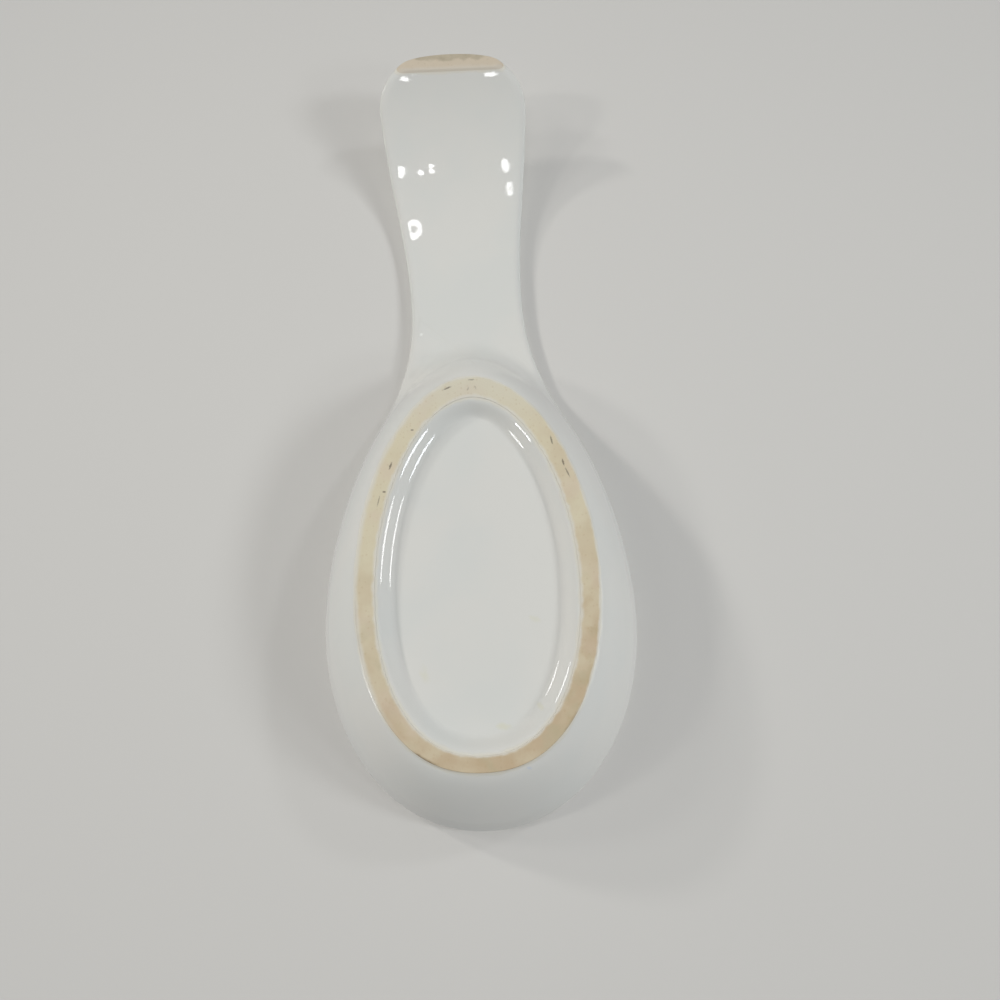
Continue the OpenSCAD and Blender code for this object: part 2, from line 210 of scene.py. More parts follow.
@dataclass(frozen=True)
class Porcelain:
    """The whole piece's sizes and its surfaces, as heights over the table.

    Places along the length are measured from the front of the rim. The sizes that the frame
    gives are read from it, and the rest are the CAD's own driving sizes.
    """

    dish_width: float
    ring_width: float
    ring_length: float
    ring_setback: float
    tip_height: float
    rest_length: float = 242.0
    rim_height: float = 22.4
    rim_crown: float = 2.0
    rim_round: float = 3.0
    rim_under_round: float = 2.5
    glaze_thick: float = 0.3
    dish_front: float = 57.0
    dish_back: float = 82.5
    dish_front_power: float = 2.08
    dish_back_power: float = 1.8
    dish_wall: float = 4.8
    floor_thick: float = 3.6
    floor_inset: float = 3.0
    ring_front: float = 48.8
    ring_front_power: float = 2.25
    ring_back_power: float = 1.9
    ring_band: float = 5.3
    ring_height: float = 0.8
    ring_edge: float = 0.2
    well_depth: float = 3.4
    well_side: float = 5.2
    well_shift: float = 1.3
    neck_width: float = 36.0
    neck_at: float = 156.0
    handle_width: float = 49.8
    handle_rise: float = 0.5
    handle_under: float = 1.6
    handle_round: float = 2.5
    handle_drift: float = 3.7
    bend_power: float = 3.0
    tip_start: float = 8.0
    tip_width: float = 33.2
    tip_crown: float = 4.7
    rim_blend: float = 0.5
    lip_blend: float = 2.5
    neck_blend: float = 8.0
    outer_power: float = 1.4
    inner_power: float = 1.6
    glaze_start_share: float = 0.12
    shoulder_share: float = 0.586
    drift_start_share: float = 0.66
    rise_share: float = 0.45

    @classmethod
    def from_frame(cls) -> "Porcelain":
        """The piece with its main sizes read from the frame's boxes.

        Formula: the extents of the dish's glaze, the foot ring and the tip, in millimetres.

        Returns:
            The piece.
        """
        coat_low, coat_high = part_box("bowl_glaze")
        ring_low, ring_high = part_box("foot_ring")
        tip_low, tip_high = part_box("handle_foot")
        return cls(
            dish_width=(coat_high.x - coat_low.x) / MM,
            ring_width=(ring_high.x - ring_low.x) / MM,
            ring_length=(ring_high.y - ring_low.y) / MM,
            ring_setback=(ring_low.y - coat_low.y) / MM,
            tip_height=(tip_high.z - tip_low.z) / MM,
        )

    @property
    def dish_oval(self) -> Oval:
        """The rim's widest line, seen from above, as if it closed behind the dish."""
        half, front, back = self.dish_width / 2, self.dish_front, self.dish_back
        return Oval(half, front, back, front, self.dish_front_power, self.dish_back_power)

    @property
    def ring_oval(self) -> Oval:
        """The foot ring's outer edge, seen from above.

        Returns:
            The oval.
        """
        front, back = self.ring_front, self.ring_length - self.ring_front
        powers = self.ring_front_power, self.ring_back_power
        return Oval(self.ring_width / 2, front, back, self.ring_setback + front, *powers)

    def ring_lines(self, outs: Array, turn: Array) -> tuple[Array, Array]:
        """Lines along the foot ring and in the well, each a length outside the ring's edge.

        Formula: the ring's oval, drawn out by each length, at the same turns. Each line moves
        towards the front by the well's shift, times its share of the way across the band.

        Args:
            outs: The lengths, negative inwards.
            turn: Turns in radians from the handle's side.

        Returns:
            The places across and along, lines by turns.
        """
        ovals = [self.ring_oval.grown(out).points(turn) for out in outs]
        across = (-np.asarray(outs) - self.glaze_thick) / (self.ring_band - self.glaze_thick)
        shift = self.well_shift * np.clip(across, 0.0, 1.0)[:, None]
        return np.stack([oval[0] for oval in ovals]), np.stack([oval[1] for oval in ovals]) - shift

    @property
    def edge_height(self) -> float:
        """Height of the rim's widest line."""
        return self.rim_height - self.rim_crown

    @property
    def under_height(self) -> float:
        """Height of the handle's flat underside at the neck."""
        return self.edge_height - self.handle_under

    @property
    def floor_height(self) -> float:
        """Height of the dish's floor."""
        return self.well_depth + self.floor_thick

    @property
    def shoulder_at(self) -> float:
        """Where the oval gives way to the neck's curve."""
        return self.dish_front + self.shoulder_share * (self.neck_at - self.dish_front)

    @property
    def end_at(self) -> float:
        """Lengthwise place where the tip's widest line meets the table."""
        return self.rest_length - self.tip_crown

    @property
    def bend_height(self) -> float:
        """Height that the handle's widest line bends down from."""
        return self.edge_height + self.handle_rise

    def line_height(self, share: Array) -> Array:
        """Height of the handle's widest line at shares of the way from the neck to the tip.

        Formula: the rim's height plus an eased rise, times one less a power of the share.

        Args:
            share: The shares.

        Returns:
            The heights.
        """
        rise = self.handle_rise * ease(share / self.rise_share)
        return (self.edge_height + rise) * (1.0 - share**self.bend_power)

    def line_fall(self, share: Array) -> Array:
        """How far the widest line falls for each length along.

        Formula: the derivative of line_height's own formula, over the length of the way.

        Args:
            share: Shares of the way from the neck to the tip.

        Returns:
            The falls.
        """
        part = np.clip(share / self.rise_share, 0.0, 1.0)
        rising = self.handle_rise * 6.0 * part * (1.0 - part) / self.rise_share
        top = self.edge_height + self.handle_rise * ease(part)
        falling = top * self.bend_power * share ** (self.bend_power - 1.0)
        run = self.end_at - self.neck_at
        return (falling - rising * (1.0 - share**self.bend_power)) / run

    def share_at(self, height: Array) -> Array:
        """Share at which the widest line has come down to a height near the table."""
        return (1.0 - height / self.bend_height) ** (1.0 / self.bend_power)

    def neck(self, y: Array) -> tuple[Array, Array]:
        """Half width of the neck and its slope, from the shoulder to the neck.

        Formula: an eased blend of the two half widths, plus the shoulder's slope times the
        run, the share and the square of one less the share.

        Args:
            y: Places along.

        Returns:
            The half widths, and what they gain for each length along.
        """
        oval = self.dish_oval
        run = self.neck_at - self.shoulder_at
        share = (y - self.shoulder_at) / run
        start = oval.half_at(np.array(self.shoulder_at))
        slope = oval.slope_at(np.array(self.shoulder_at))
        narrow = self.neck_width / 2
        half = blend(start, narrow, ease(share)) + slope * run * share * (1.0 - share) ** 2
        own_slope = (narrow - start) / run * 6.0 * share * (1.0 - share)
        return half, own_slope + slope * (1.0 - share) * (1.0 - 3.0 * share)

    def flare_half(self, y: Array) -> Array:
        """Half width of the handle: half a cosine wave from the neck's to the bend's."""
        share = np.clip((y - self.neck_at) / (self.end_at - self.neck_at), 0.0, 1.0)
        return blend(self.neck_width / 2, self.handle_width / 2, wave(share))

    def inside(self, x: Array, y: Array, depth: float) -> Array:
        """Distance in from the outline, for the surface drawn in by a depth.

        Formula: the oval's own distance in front of the widest line, and behind it what is
        left of the half width, over the length of the side's slope.

        Args:
            x: Places across.
            y: Places along.
            depth: Depth of the surface under the glazed one.

        Returns:
            The distances.
        """
        oval = self.dish_oval.grown(-depth)
        neck_half, neck_slope = self.neck(np.maximum(y, self.shoulder_at))
        before = y <= self.shoulder_at
        half = np.where(before, oval.half_at(y), neck_half - depth)
        oval_slope = self.dish_oval.slope_at(np.minimum(y, self.shoulder_at))
        slope = np.where(before, oval_slope, neck_slope)
        beside = (half - np.abs(x)) / np.hypot(1.0, slope)
        return np.where(y <= self.dish_front, -oval.outside(x, y), beside)

    def neck_share(self, y: Array) -> Array:
        """How far a place has come from the widest line to the neck."""
        return ease((y - self.dish_front) / (self.neck_at - self.dish_front))

    @staticmethod
    def slope_share(low: Oval, high: Oval, x: Array, y: Array) -> Array:
        """Share of the way from the low oval out to the high one, by the distances to both."""
        from_low = np.maximum(low.outside(x, y), 0.0)
        return from_low / (from_low - high.outside(x, y))

    def underside(self, x: Array, y: Array, depth: float) -> Array:
        """Height of the underside, drawn into the piece by a depth.

        Formula: a wall that rises as a power of the share between the foot ring and the rim,
        cut off softly by the handle's flat underside, and rounded up to the widest line.

        Args:
            x: Places across.
            y: Places along.
            depth: The depth.

        Returns:
            The heights.
        """
        low, high = self.ring_oval.grown(-depth), self.dish_oval.grown(-depth)
        share = self.slope_share(low, high, x, y)
        coat = depth * np.clip(share / self.glaze_start_share, 0.0, 1.0)
        wall = blend(self.ring_height, self.under_height, share**self.outer_power) + coat
        near_neck = self.neck_share(y)
        flat = self.under_height + depth
        core = soft_min(wall, flat, blend(self.rim_blend, self.neck_blend, near_neck))
        rounding = blend(self.rim_under_round, self.handle_round, near_neck)
        return blend(self.edge_height, core, edge_curve(self.inside(x, y, depth) / rounding))

    def upper_side(self, x: Array, y: Array, depth: float) -> Array:
        """Height of the upper side, drawn into the piece by a depth.

        Formula: as underside, from the dish's floor up to the rim's top.

        Args:
            x: Places across.
            y: Places along.
            depth: The depth.

        Returns:
            The heights.
        """
        low = self.ring_oval.grown(depth - self.floor_inset)
        high = self.dish_oval.grown(depth - self.dish_wall)
        share = self.slope_share(low, high, x, y)
        dish = blend(self.floor_height, self.rim_height, share**self.inner_power) - depth
        near_neck = self.neck_share(y)
        flat = self.rim_height - depth
        core = soft_min(dish, flat, blend(self.lip_blend, self.neck_blend, near_neck))
        rounding = blend(self.rim_round, self.neck_width / 2 - depth, near_neck)
        return blend(self.edge_height, core, edge_curve(self.inside(x, y, depth) / rounding))

    def placed(self, x: Array, y: Array, z: Array) -> Array:
        """Points in the piece's own frame, with the handle's sideways drift added.

        Formula: across gains the drift, eased from its start to the end of the handle, and
        along loses half the length.

        Args:
            x: Places across.
            y: Places along, from the front of the rim.
            z: Heights.

        Returns:
            The points, with the three parts last.
        """
        start = self.drift_start_share * self.neck_at
        drift = self.handle_drift * ease((y - start) / (self.rest_length - start))
        return np.stack(np.broadcast_arrays(x + drift, y - self.rest_length / 2, z), axis=-1)


@dataclass
class Shell:
    """A mesh in the making.

    Attributes:
        points: Its points so far.
        quads: Faces of four corners, as numbers of points.
        fans: Faces of three corners.
        sharp: Numbers of the points on its sharp lines.
        values: Named numbers that the points keep for their material.
        count: How many points it has.
    """

    points: list[Array] = field(default_factory=list)
    quads: list[Array] = field(default_factory=list)
    fans: list[Array] = field(default_factory=list)
    sharp: list[Array] = field(default_factory=list)
    values: dict[str, list[Array]] = field(default_factory=dict)
    count: int = 0

    def add(self, rows: Array, **values: Array) -> Array:
        """Adds rows of points and returns their numbers, in the same rows.

        Args:
            rows: Points in millimetres, rows by places by three.
            values: Named numbers that each point keeps, for its material.

        Returns:
            The points' numbers, rows by places.
        """
        shape = rows.shape[:-1]
        self.points.append(rows.reshape(-1, 3))
        for name, value in values.items():
            self.values.setdefault(name, []).append(np.broadcast_to(value, shape).ravel())
        numbers = self.count + np.arange(int(np.prod(shape))).reshape(shape)
        self.count += numbers.size
        return numbers

    def point(self, place: Array, **values: float) -> int:
        """Adds one point with the numbers that it keeps, and returns its own number."""
        return int(self.add(place.reshape(1, 1, 3), **values)[0, 0])

    def join(self, rows: Array, closed: bool = True) -> None:
        """Adds the faces between rows of points.

        Args:
            rows: The points' numbers, rows by places.
            closed: Whether each row closes on itself.
        """
        if closed:
            rows = np.concatenate([rows, rows[:, :1]], axis=1)
        corners = [rows[:-1, :-1], rows[:-1, 1:], rows[1:, 1:], rows[1:, :-1]]
        self.quads.append(np.stack(corners, axis=-1).reshape(-1, 4))

    def cap(self, row: Array, middle: int, after: bool) -> None:
        """Closes a row with a fan round a middle point.

        Args:
            row: The row's numbers.
            middle: The middle point's number.
            after: Whether the fan comes after the row, as join goes, or before it.
        """
        ahead = np.roll(row, -1)
        sides = [row, ahead] if after else [ahead, row]
        self.fans.append(np.stack([*sides, np.full_like(row, middle)], axis=-1))

    def crease(self, *rows: Array) -> None:
        """Keeps the lines of some rows sharp."""
        self.sharp.extend(row.ravel() for row in rows)

    def built(self, name: str) -> bpy.types.Object:
        """The mesh as an object in the scene.

        Args:
            name: The piece's name.

        Returns:
            The object, smooth apart from its sharp lines.
        """
        quads = np.concatenate(self.quads)
        fans = np.concatenate(self.fans) if self.fans else np.zeros((0, 3), int)
        corners = np.concatenate([quads.ravel(), fans.ravel()]).astype(np.int32)
        sizes = np.concatenate([np.full(len(quads), 4), np.full(len(fans), 3)])
        starts = np.concatenate([[0], np.cumsum(sizes)[:-1]]).astype(np.int32)
        mesh = bpy.data.meshes.new(name)
        mesh.vertices.add(self.count)
        places = np.concatenate(self.points) * MM
        mesh.vertices.foreach_set("co", places.astype(np.float32).ravel())
        mesh.loops.add(len(corners))
        mesh.loops.foreach_set("vertex_index", corners)
        mesh.polygons.add(len(sizes))
        mesh.polygons.foreach_set("loop_start", starts)
        mesh.update(calc_edges=True)
        for key, parts in self.values.items():
            layer = mesh.attributes.new(key, "FLOAT", "POINT")
            layer.data.foreach_set("value", np.concatenate(parts).astype(np.float32))
        ends = np.zeros(len(mesh.edges) * 2, np.int32)
        mesh.edges.foreach_get("vertices", ends)
        marked = np.zeros(self.count, bool)
        if self.sharp:
            marked[np.concatenate(self.sharp)] = True
        layer = mesh.attributes.new("sharp_edge", "BOOLEAN", "EDGE")
        layer.data.foreach_set("value", marked[ends.reshape(-1, 2)].all(axis=1))
        piece = bpy.data.objects.new(name, mesh)
        bpy.context.scene.collection.objects.link(piece)
        return piece


def crowded(count: int, power: float) -> Array:
    """Shares from 0 to 1 that lie closer together towards 1: one less a power of the rest."""
    return 1.0 - (1.0 - np.linspace(0.0, 1.0, count)) ** power


def across_shares(count: int) -> Array:
    """Shares from -1 to 1 across a section, close together near its edges: a sine."""
    return np.sin(np.linspace(-np.pi / 2, np.pi / 2, count))


@dataclass
class Columns:
    """The lines that run from the foot ring out to the outline, once round the dish.

    Attributes:
        form: The piece's sizes and surfaces.
        neck: Columns across the neck.
        shoulder: Columns along one shoulder.
        side: Columns along one side of the oval, from the shoulder to the front.
        neck_turn: Direction on the foot ring, from the handle's side, where the neck ends.
        shoulder_turn: Direction on the foot ring where the shoulder ends.
        crowd_share: Share of a row's even place that it keeps across the neck.
    """

    form: Porcelain
    neck: int = 48
    shoulder: int = 36
    side: int = 120
    neck_turn: float = math.radians(18.0)
    shoulder_turn: float = math.radians(38.0)
    crowd_share: float = 0.55

    def turns(self) -> Array:
        """Each column's direction on the foot ring.

        Returns:
            The turns in radians from the handle's side.
        """
        stops = (-self.neck_turn, self.neck_turn, self.shoulder_turn, np.pi)
        counts = (self.neck, self.shoulder, self.side)
        parts = [
            np.linspace(start, stop, count, endpoint=False)
            for start, stop, count in zip(stops, stops[1:], counts)
        ]
        half = np.concatenate(parts[1:])
        return np.concatenate([parts[0], half, [np.pi], -half[:0:-1]])

    def outline(self, depth: float) -> tuple[Array, Array]:
        """Each column's point on the outline, drawn in by a depth.

        Formula: across the neck, shares of its half width; along the shoulder, the neck's
        cubic; round the dish, points of the oval at even turns.

        Args:
            depth: The depth.

        Returns:
            The places across and along.
        """
        form = self.form
        reach = (form.shoulder_at - form.dish_front) / form.dish_back
        start = math.acos(reach ** (form.dish_oval.back_power / 2))
        beside = np.linspace(form.neck_at, form.shoulder_at, self.shoulder, endpoint=False)
        oval = form.dish_oval.grown(-depth)
        side_x, side_y = oval.points(np.linspace(start, np.pi, self.side, endpoint=False))
        half_x = np.concatenate([form.neck(beside)[0] - depth, side_x])
        half_y = np.concatenate([beside, side_y])
        front_x, front_y = oval.points(np.array([np.pi]))
        across = across_shares(self.neck + 1)[:-1] * (form.neck_width / 2 - depth)
        x = np.concatenate([across, half_x, np.zeros_like(front_x), -half_x[:0:-1]])
        y = np.concatenate([np.full(self.neck, form.neck_at), half_y, front_y, half_y[:0:-1]])
        return x, y

    def run(self, foot: Oval, shares: Array, depth: float) -> tuple[Array, Array]:
        """Points between a foot oval and the outline, rows by columns.

        Formula: a straight blend, whose share is held back across the neck in step with how
        far the outline lies behind the oval, so that the rows crowd towards the foot.

        Args:
            foot: The oval that the columns start from.
            shares: Each row's share of the way out.
            depth: Depth of the surface under the glazed one.

        Returns:
            The places across and along.
        """
        foot_x, foot_y = foot.points(self.turns())
        edge_x, edge_y = self.outline(depth)
        form = self.form
        behind = np.clip((edge_y - form.shoulder_at) / (form.neck_at - form.shoulder_at), 0.0, 1.0)
        keep = blend(1.0, self.crowd_share, behind)
        share = shares[:, None] * blend(keep, 1.0, shares[:, None] ** 2)
        return blend(foot_x, edge_x, share), blend(foot_y, edge_y, share)


@dataclass
class DishCoat:
    """The glaze over the dish: its outer wall, its rim and its inside, open at the neck.

    Attributes:
        form: The piece's sizes and surfaces.
        columns: The lines from the foot ring to the outline.
        rows: Rows on each side of the outline.
        crowd: How much the rows crowd towards the outline.
    """

    form: Porcelain
    columns: Columns
    rows: int = 52
    crowd: float = 1.9

    def skin(self, shell: Shell, depth: float, back: bool) -> tuple[Array, Array]:
        """Adds one skin of the coat.

        Args:
            shell: The mesh in the making.
            depth: Depth of the skin under the glazed surface.
            back: Whether it faces into the piece, as the coat's back does.

        Returns:
            The point numbers of the outer rows and of the inner rows.
        """
        form, columns, shares = self.form, self.columns, crowded(self.rows, self.crowd)
        x, y = columns.run(form.ring_oval.grown(-depth), shares, depth)
        z = form.underside(x, y, depth)
        z[0] = form.ring_height
        bare_edge = np.hypot(np.hypot(x - x[0], y - y[0]), z - z[0])
        outer = shell.add(form.placed(x, y, z), bare_edge=bare_edge)
        x, y = columns.run(form.ring_oval.grown(depth - form.floor_inset), shares, depth)
        z = form.upper_side(x, y, depth)
        z[0] = form.floor_height - depth
        points = form.placed(x, y, z)
        inner = shell.add(points[:-1], bare_edge=FAR)
        rim = outer[-1:].copy()
        rim[0, 1 : columns.neck] = shell.add(points[-1:, 1 : columns.neck], bare_edge=FAR)[0]
        inner = np.concatenate([inner, rim])
        middle = form.placed(0.0, form.ring_oval.widest, form.floor_height - depth)
        centre = shell.point(middle, bare_edge=FAR)
        for rows in (outer[::-1], inner) if back else (outer, inner[::-1]):
            shell.join(rows)
        shell.cap(inner[0], centre, after=not back)
        return outer, inner

    def build(self) -> bpy.types.Object:
        """The coat as one closed mesh.

        Formula: two skins, joined at the foot ring and at the neck.

        Returns:
            The piece.
        """
        shell = Shell()
        outer, inner = self.skin(shell, 0.0, back=False)
        deep_outer, deep_inner = self.skin(shell, self.form.glaze_thick, back=True)
        shell.join(np.stack([deep_outer[0], outer[0]]))
        across = slice(0, self.columns.neck + 1)
        shell.join(np.stack([outer[-1, across], deep_outer[-1, across]]), closed=False)
        shell.join(np.stack([deep_inner[-1, across], inner[-1, across]]), closed=False)
        shell.crease(outer[0], deep_outer[0])
        shell.crease(*(rows[-1, across] for rows in (outer, inner, deep_outer, deep_inner)))
        return shell.built("bowl_glaze_coat")


@dataclass
class WellCoat:
    """The glaze in the well: it rolls off the bare band, drops and flows into the floor.

    Attributes:
        form: The piece's sizes and surfaces.
        columns: The lines round the foot ring.
        side_rows: Rows down the well's side.
        floor_rows: Rows over its floor.
    """

    form: Porcelain
    columns: Columns
    side_rows: int = 31
    floor_rows: int = 10

    def skin(self, shell: Shell, depth: float, first: int = 0) -> tuple[Array, int]:
        """Adds one skin of the coat.

        Formula: down the side, half a cosine wave from the band's edge to the floor; over the
        floor, ovals that shrink towards their middle.

        Args:
            shell: The mesh in the making.
            depth: Depth of the skin under the glazed surface.
            first: The row of the side that it starts at.

        Returns:
            The point numbers of its rows, and its middle point's number.
        """
        form, turn = self.form, self.columns.turns()
        shares = np.linspace(0.0, 1.0, self.side_rows)
        x, y = form.ring_lines(-form.ring_band - form.well_side * shares, turn)
        drop = blend(form.ring_edge, form.well_depth, wave(shares))
        shrink = np.linspace(1.0, 0.0, self.floor_rows, endpoint=False)[1:, None]
        middle_y = form.ring_oval.widest - form.well_shift
        x = np.concatenate([x, x[-1] * shrink])
        y = np.concatenate([y, middle_y + (y[-1] - middle_y) * shrink])
        z = np.concatenate([drop, np.full(self.floor_rows - 1, form.well_depth)])[:, None] + depth
        bare_edge = np.concatenate([form.well_side * shares, np.full(self.floor_rows - 1, FAR)])
        points = form.placed(x, y, z)[first:]
        rows = shell.add(points, bare_edge=bare_edge[first:, None])
        middle = form.placed(0.0, middle_y, form.well_depth + depth)
        return rows, shell.point(middle, bare_edge=FAR)

    def build(self) -> bpy.types.Object:
        """The coat as one closed mesh.

        Formula: two skins, joined along the band's edge.

        Returns:
            The piece.
        """
        shell = Shell()
        face, face_middle = self.skin(shell, 0.0)
        back, back_middle = self.skin(shell, self.form.glaze_thick)
        shell.join(np.concatenate([face[::-1], back]))
        shell.cap(face[-1], face_middle, after=False)
        shell.cap(back[-1], back_middle, after=True)
        shell.crease(face[0], back[0])
        return shell.built("well_glaze_coat")


@dataclass
class DishClay:
    """The clay of the dish: the well, the foot ring's seat, the outer wall, rim and inside.

    Attributes:
        coat: The glaze over the dish.
        well: The glaze in the well.
    """

    coat: DishCoat
    well: WellCoat

    def build(self) -> bpy.types.Object:
        """The clay as one closed mesh, from the middle of the well's side out, with a flat neck.

        Formula: the well's own rows and the dish's own skin, both drawn in by the glaze.

        Returns:
            The piece.
        """
        shell, depth = Shell(), self.coat.form.glaze_thick
        outer, inner = self.coat.skin(shell, depth, back=False)
        floor, middle = self.well.skin(shell, depth, first=self.well.side_rows // 2)
        shell.join(np.concatenate([floor[::-1], outer[:1]]))
        shell.cap(floor[-1], middle, after=False)
        across = slice(0, self.coat.columns.neck + 1)
        shell.join(np.stack([outer[-1, across], inner[-1, across]]), closed=False)
        shell.crease(outer[0], floor[0], outer[-1, across], inner[-1, across])
        return shell.built("bowl_clay")


@dataclass
class FootRing:
    """The foot ring: a bare ground band between a bare outer side and a glazed inner one.

    Attributes:
        form: The piece's sizes and surfaces.
        columns: The lines round the foot ring.
        band_rows: Rows across the band.
        round_rows: Rows round each of its edges.
        under_rows: Rows under the glaze of the well.
    """

    form: Porcelain
    columns: Columns
    band_rows: int = 24
    round_rows: int = 5
    under_rows: int = 8

    def section(self) -> tuple[Array, Array, Array]:
        """The ring's section, from the glaze's seat round to the middle of the well's side.

        Formula: straight down the outer side, a quarter turn of the edge's rounding, level
        over the band, a quarter turn back up, then the well's half cosine wave.

        Returns:
            The lengths out from the ring's oval, the heights, and the shares across the band.
        """
        form = self.form
        turn = np.linspace(0.0, np.pi / 2, self.round_rows)
        out_round = -form.ring_edge * (1.0 - np.cos(turn))
        up_round = form.ring_edge * (1.0 - np.sin(turn))
        band = np.linspace(-form.ring_edge, form.ring_edge - form.ring_band, self.band_rows)[1:-1]
        half = np.linspace(0.0, 0.5, self.under_rows)
        seat = np.array([-form.glaze_thick, 0.0])
        under = blend(form.ring_edge, form.well_depth, wave(half)) + form.glaze_thick
        inner_round = -form.ring_band - out_round[::-1]
        under_glaze = -form.ring_band - form.well_side * half
        out = np.concatenate([seat, out_round, band, inner_round, under_glaze])
        level = np.zeros_like(band)
        up = np.concatenate(
            [np.full(2, form.ring_height), up_round, level, up_round[::-1], under]
        )
        return out, up, np.clip(-out / form.ring_band, 0.0, 1.0)

    def build(self) -> bpy.types.Object:
        """The ring as one closed mesh.

        Formula: its section, carried round the oval.

        Returns:
            The piece.
        """
        form, turn = self.form, self.columns.turns()
        out, up, across = self.section()
        x, y = form.ring_lines(out, turn)
        shell = Shell()
        rows = shell.add(form.placed(x, y, up[:, None]), across=across[:, None])
        shell.join(np.concatenate([rows, rows[:1]])[::-1])
        shell.crease(rows[0], rows[1], rows[-1], rows[-self.under_rows])
        return shell.built("foot_ring_clay")


@dataclass
class Handle:
    """The handle: its glaze coat, the clay under it and its bare tip.

    Attributes:
        form: The piece's sizes and surfaces.
        rows: Sections from the neck to the tip.
        crowd: How much the sections crowd towards the tip.
        across: Places across each side of a section.
        round_rows: Rows of the tip's rounding.
        side_rows: Rows of the tip's straight sides.
        middle_share: Share of the way across the tip's face where its middle lies.
    """

    form: Porcelain
    rows: int = 220
    crowd: float = 1.5
    across: int = 65
    round_rows: int = 6
    side_rows: int = 4
    middle_share: float = 0.4

    def line(self) -> tuple[Array, Array, Array, Array]:
        """The widest line, seen from the side, and the direction from it to the outer side.

        Formula: the line's own height at each share of the way; the direction turns in step
        with the line's angle, from upright at the neck to level over the tip.

        Returns:
            Places, heights, and the direction's two parts, at each station.
        """
        form = self.form
        share = form.share_at(form.tip_height) * crowded(self.rows, self.crowd)
        angle = np.arctan(form.line_fall(share))
        turn = np.pi / 2 * angle / angle[-1]
        place = blend(form.neck_at, form.end_at, share)
        return place, form.line_height(share), np.sin(turn), np.cos(turn)

    def half(self, y: Array, z: Array) -> Array:
        """Half width at each station.

        Formula: the flare's half width, times an ellipse's fall from the tip's start on.

        Args:
            y: Place of each station.
            z: Height of each station.

        Returns:
            The half widths.
        """
        form = self.form
        drop = form.tip_start / math.sqrt(1.0 - (form.tip_width / form.handle_width) ** 2)
        below = np.maximum(form.tip_start - z, 0.0)
        return form.flare_half(y) * np.sqrt(1.0 - (below / drop) ** 2)

    def sections(
        self, y: Array, z: Array, out_y: Array, out_z: Array, depth: float, shrink: Array
    ) -> Array:
        """Sections of the handle, each once round, drawn in by a depth and a shrinkage.

        Formula: under the widest line, a flat underside with rounded edges; over it, a crown
        that is a quarter superellipse on each side of the middle.

        Args:
            y: Place of each section's widest line.
            z: Height of each section's widest line.
            out_y: The direction to the outer side, its part along the length.
            out_z: The direction to the outer side, its part upwards.
            depth: Depth under the glazed surface.
            shrink: What each section is smaller by all round.

        Returns:
            Points, sections by places round.
        """
        form = self.form
        share = across_shares(self.across)[None, :]
        half = (self.half(y, z) - depth - shrink)[:, None]
        near = ease((y - form.neck_at) / (form.end_at - form.neck_at))
        over = (blend(form.rim_crown, form.tip_crown, near) - depth - shrink)[:, None]
        under = np.asarray(form.handle_under - depth - shrink).reshape(-1, 1)
        low = -under * edge_curve((1.0 - np.abs(share)) * half / form.handle_round)
        high = (over * edge_curve(1.0 - np.abs(share)))[:, -2:0:-1]
        x = np.concatenate([share * half, (share * half)[:, -2:0:-1]], axis=1)
        up = np.concatenate([low, high], axis=1)
        return form.placed(x, y[:, None] + out_y[:, None] * up, z[:, None] + out_z[:, None] * up)

    def coat(self) -> bpy.types.Object:
        """The glaze coat as one closed tube, open inside for the clay.

        Formula: the sections carried along the widest line, at the surface and under the
        glaze. Each point keeps its distance from the bare tip, along the line.

        Returns:
            The piece.
        """
        shell, line = Shell(), self.line()
        none = np.zeros_like(line[0])
        steps = np.hypot(np.diff(line[0]), np.diff(line[1]))
        low = np.concatenate([np.cumsum(steps[::-1])[::-1], [0.0]])[:, None]
        face = shell.add(self.sections(*line, 0.0, none), bare_edge=low)
        back = shell.add(self.sections(*line, self.form.glaze_thick, none), bare_edge=low)
        shell.join(np.concatenate([face, back[::-1], face[:1]]))
        shell.crease(face[0], face[-1], back[0], back[-1])
        return shell.built("handle_glaze_coat")

    def clay(self) -> bpy.types.Object:
        """The clay under the coat as one closed mesh, flat at the neck and over the tip.

        Formula: the sections under the glaze, carried along the widest line.

        Returns:
            The piece.
        """
        shell, line = Shell(), self.line()
        points = self.sections(*line, self.form.glaze_thick, np.zeros_like(line[0]))
        rows = shell.add(points)
        shell.join(rows)
        for end, after in ((0, False), (-1, True)):
            shell.cap(rows[end], shell.point(points[end].mean(axis=0)), after)
            shell.crease(rows[end])
        return shell.built("handle_clay")

    def tip(self) -> bpy.types.Object:
        """The bare tip as one closed mesh.

        Formula: sections that follow the widest line, then a quarter turn in to the ground
        face. Each point keeps its share of the way across the tip, from the inner side.

        Returns:
            The piece.
        """
        form = self.form
        turn = np.linspace(0.0, np.pi / 2, self.round_rows)
        sides = np.linspace(form.tip_height, form.ring_edge, self.side_rows, endpoint=False)
        z = np.concatenate([sides, form.ring_edge * (1.0 - np.sin(turn))])
        shrink = np.concatenate([np.zeros_like(sides), form.ring_edge * (1.0 - np.cos(turn))])
        y, flat = blend(form.neck_at, form.end_at, form.share_at(z)), np.zeros_like(z)
        shell = Shell()
        points = self.sections(y, z, flat + 1.0, flat, 0.0, shrink)
        back = points[..., 1] + form.rest_length / 2 - y[:, None]
        share = (back + form.handle_under) / (form.handle_under + form.tip_crown)
        rows = shell.add(points, across=np.clip(share, 0.0, 1.0))
        shell.join(rows)
        for end, after in ((0, False), (-1, True)):
            middle = shell.point(points[end].mean(axis=0), across=self.middle_share)
            shell.cap(rows[end], middle, after)
        shell.crease(rows[0])
        return shell.built("handle_foot_clay")


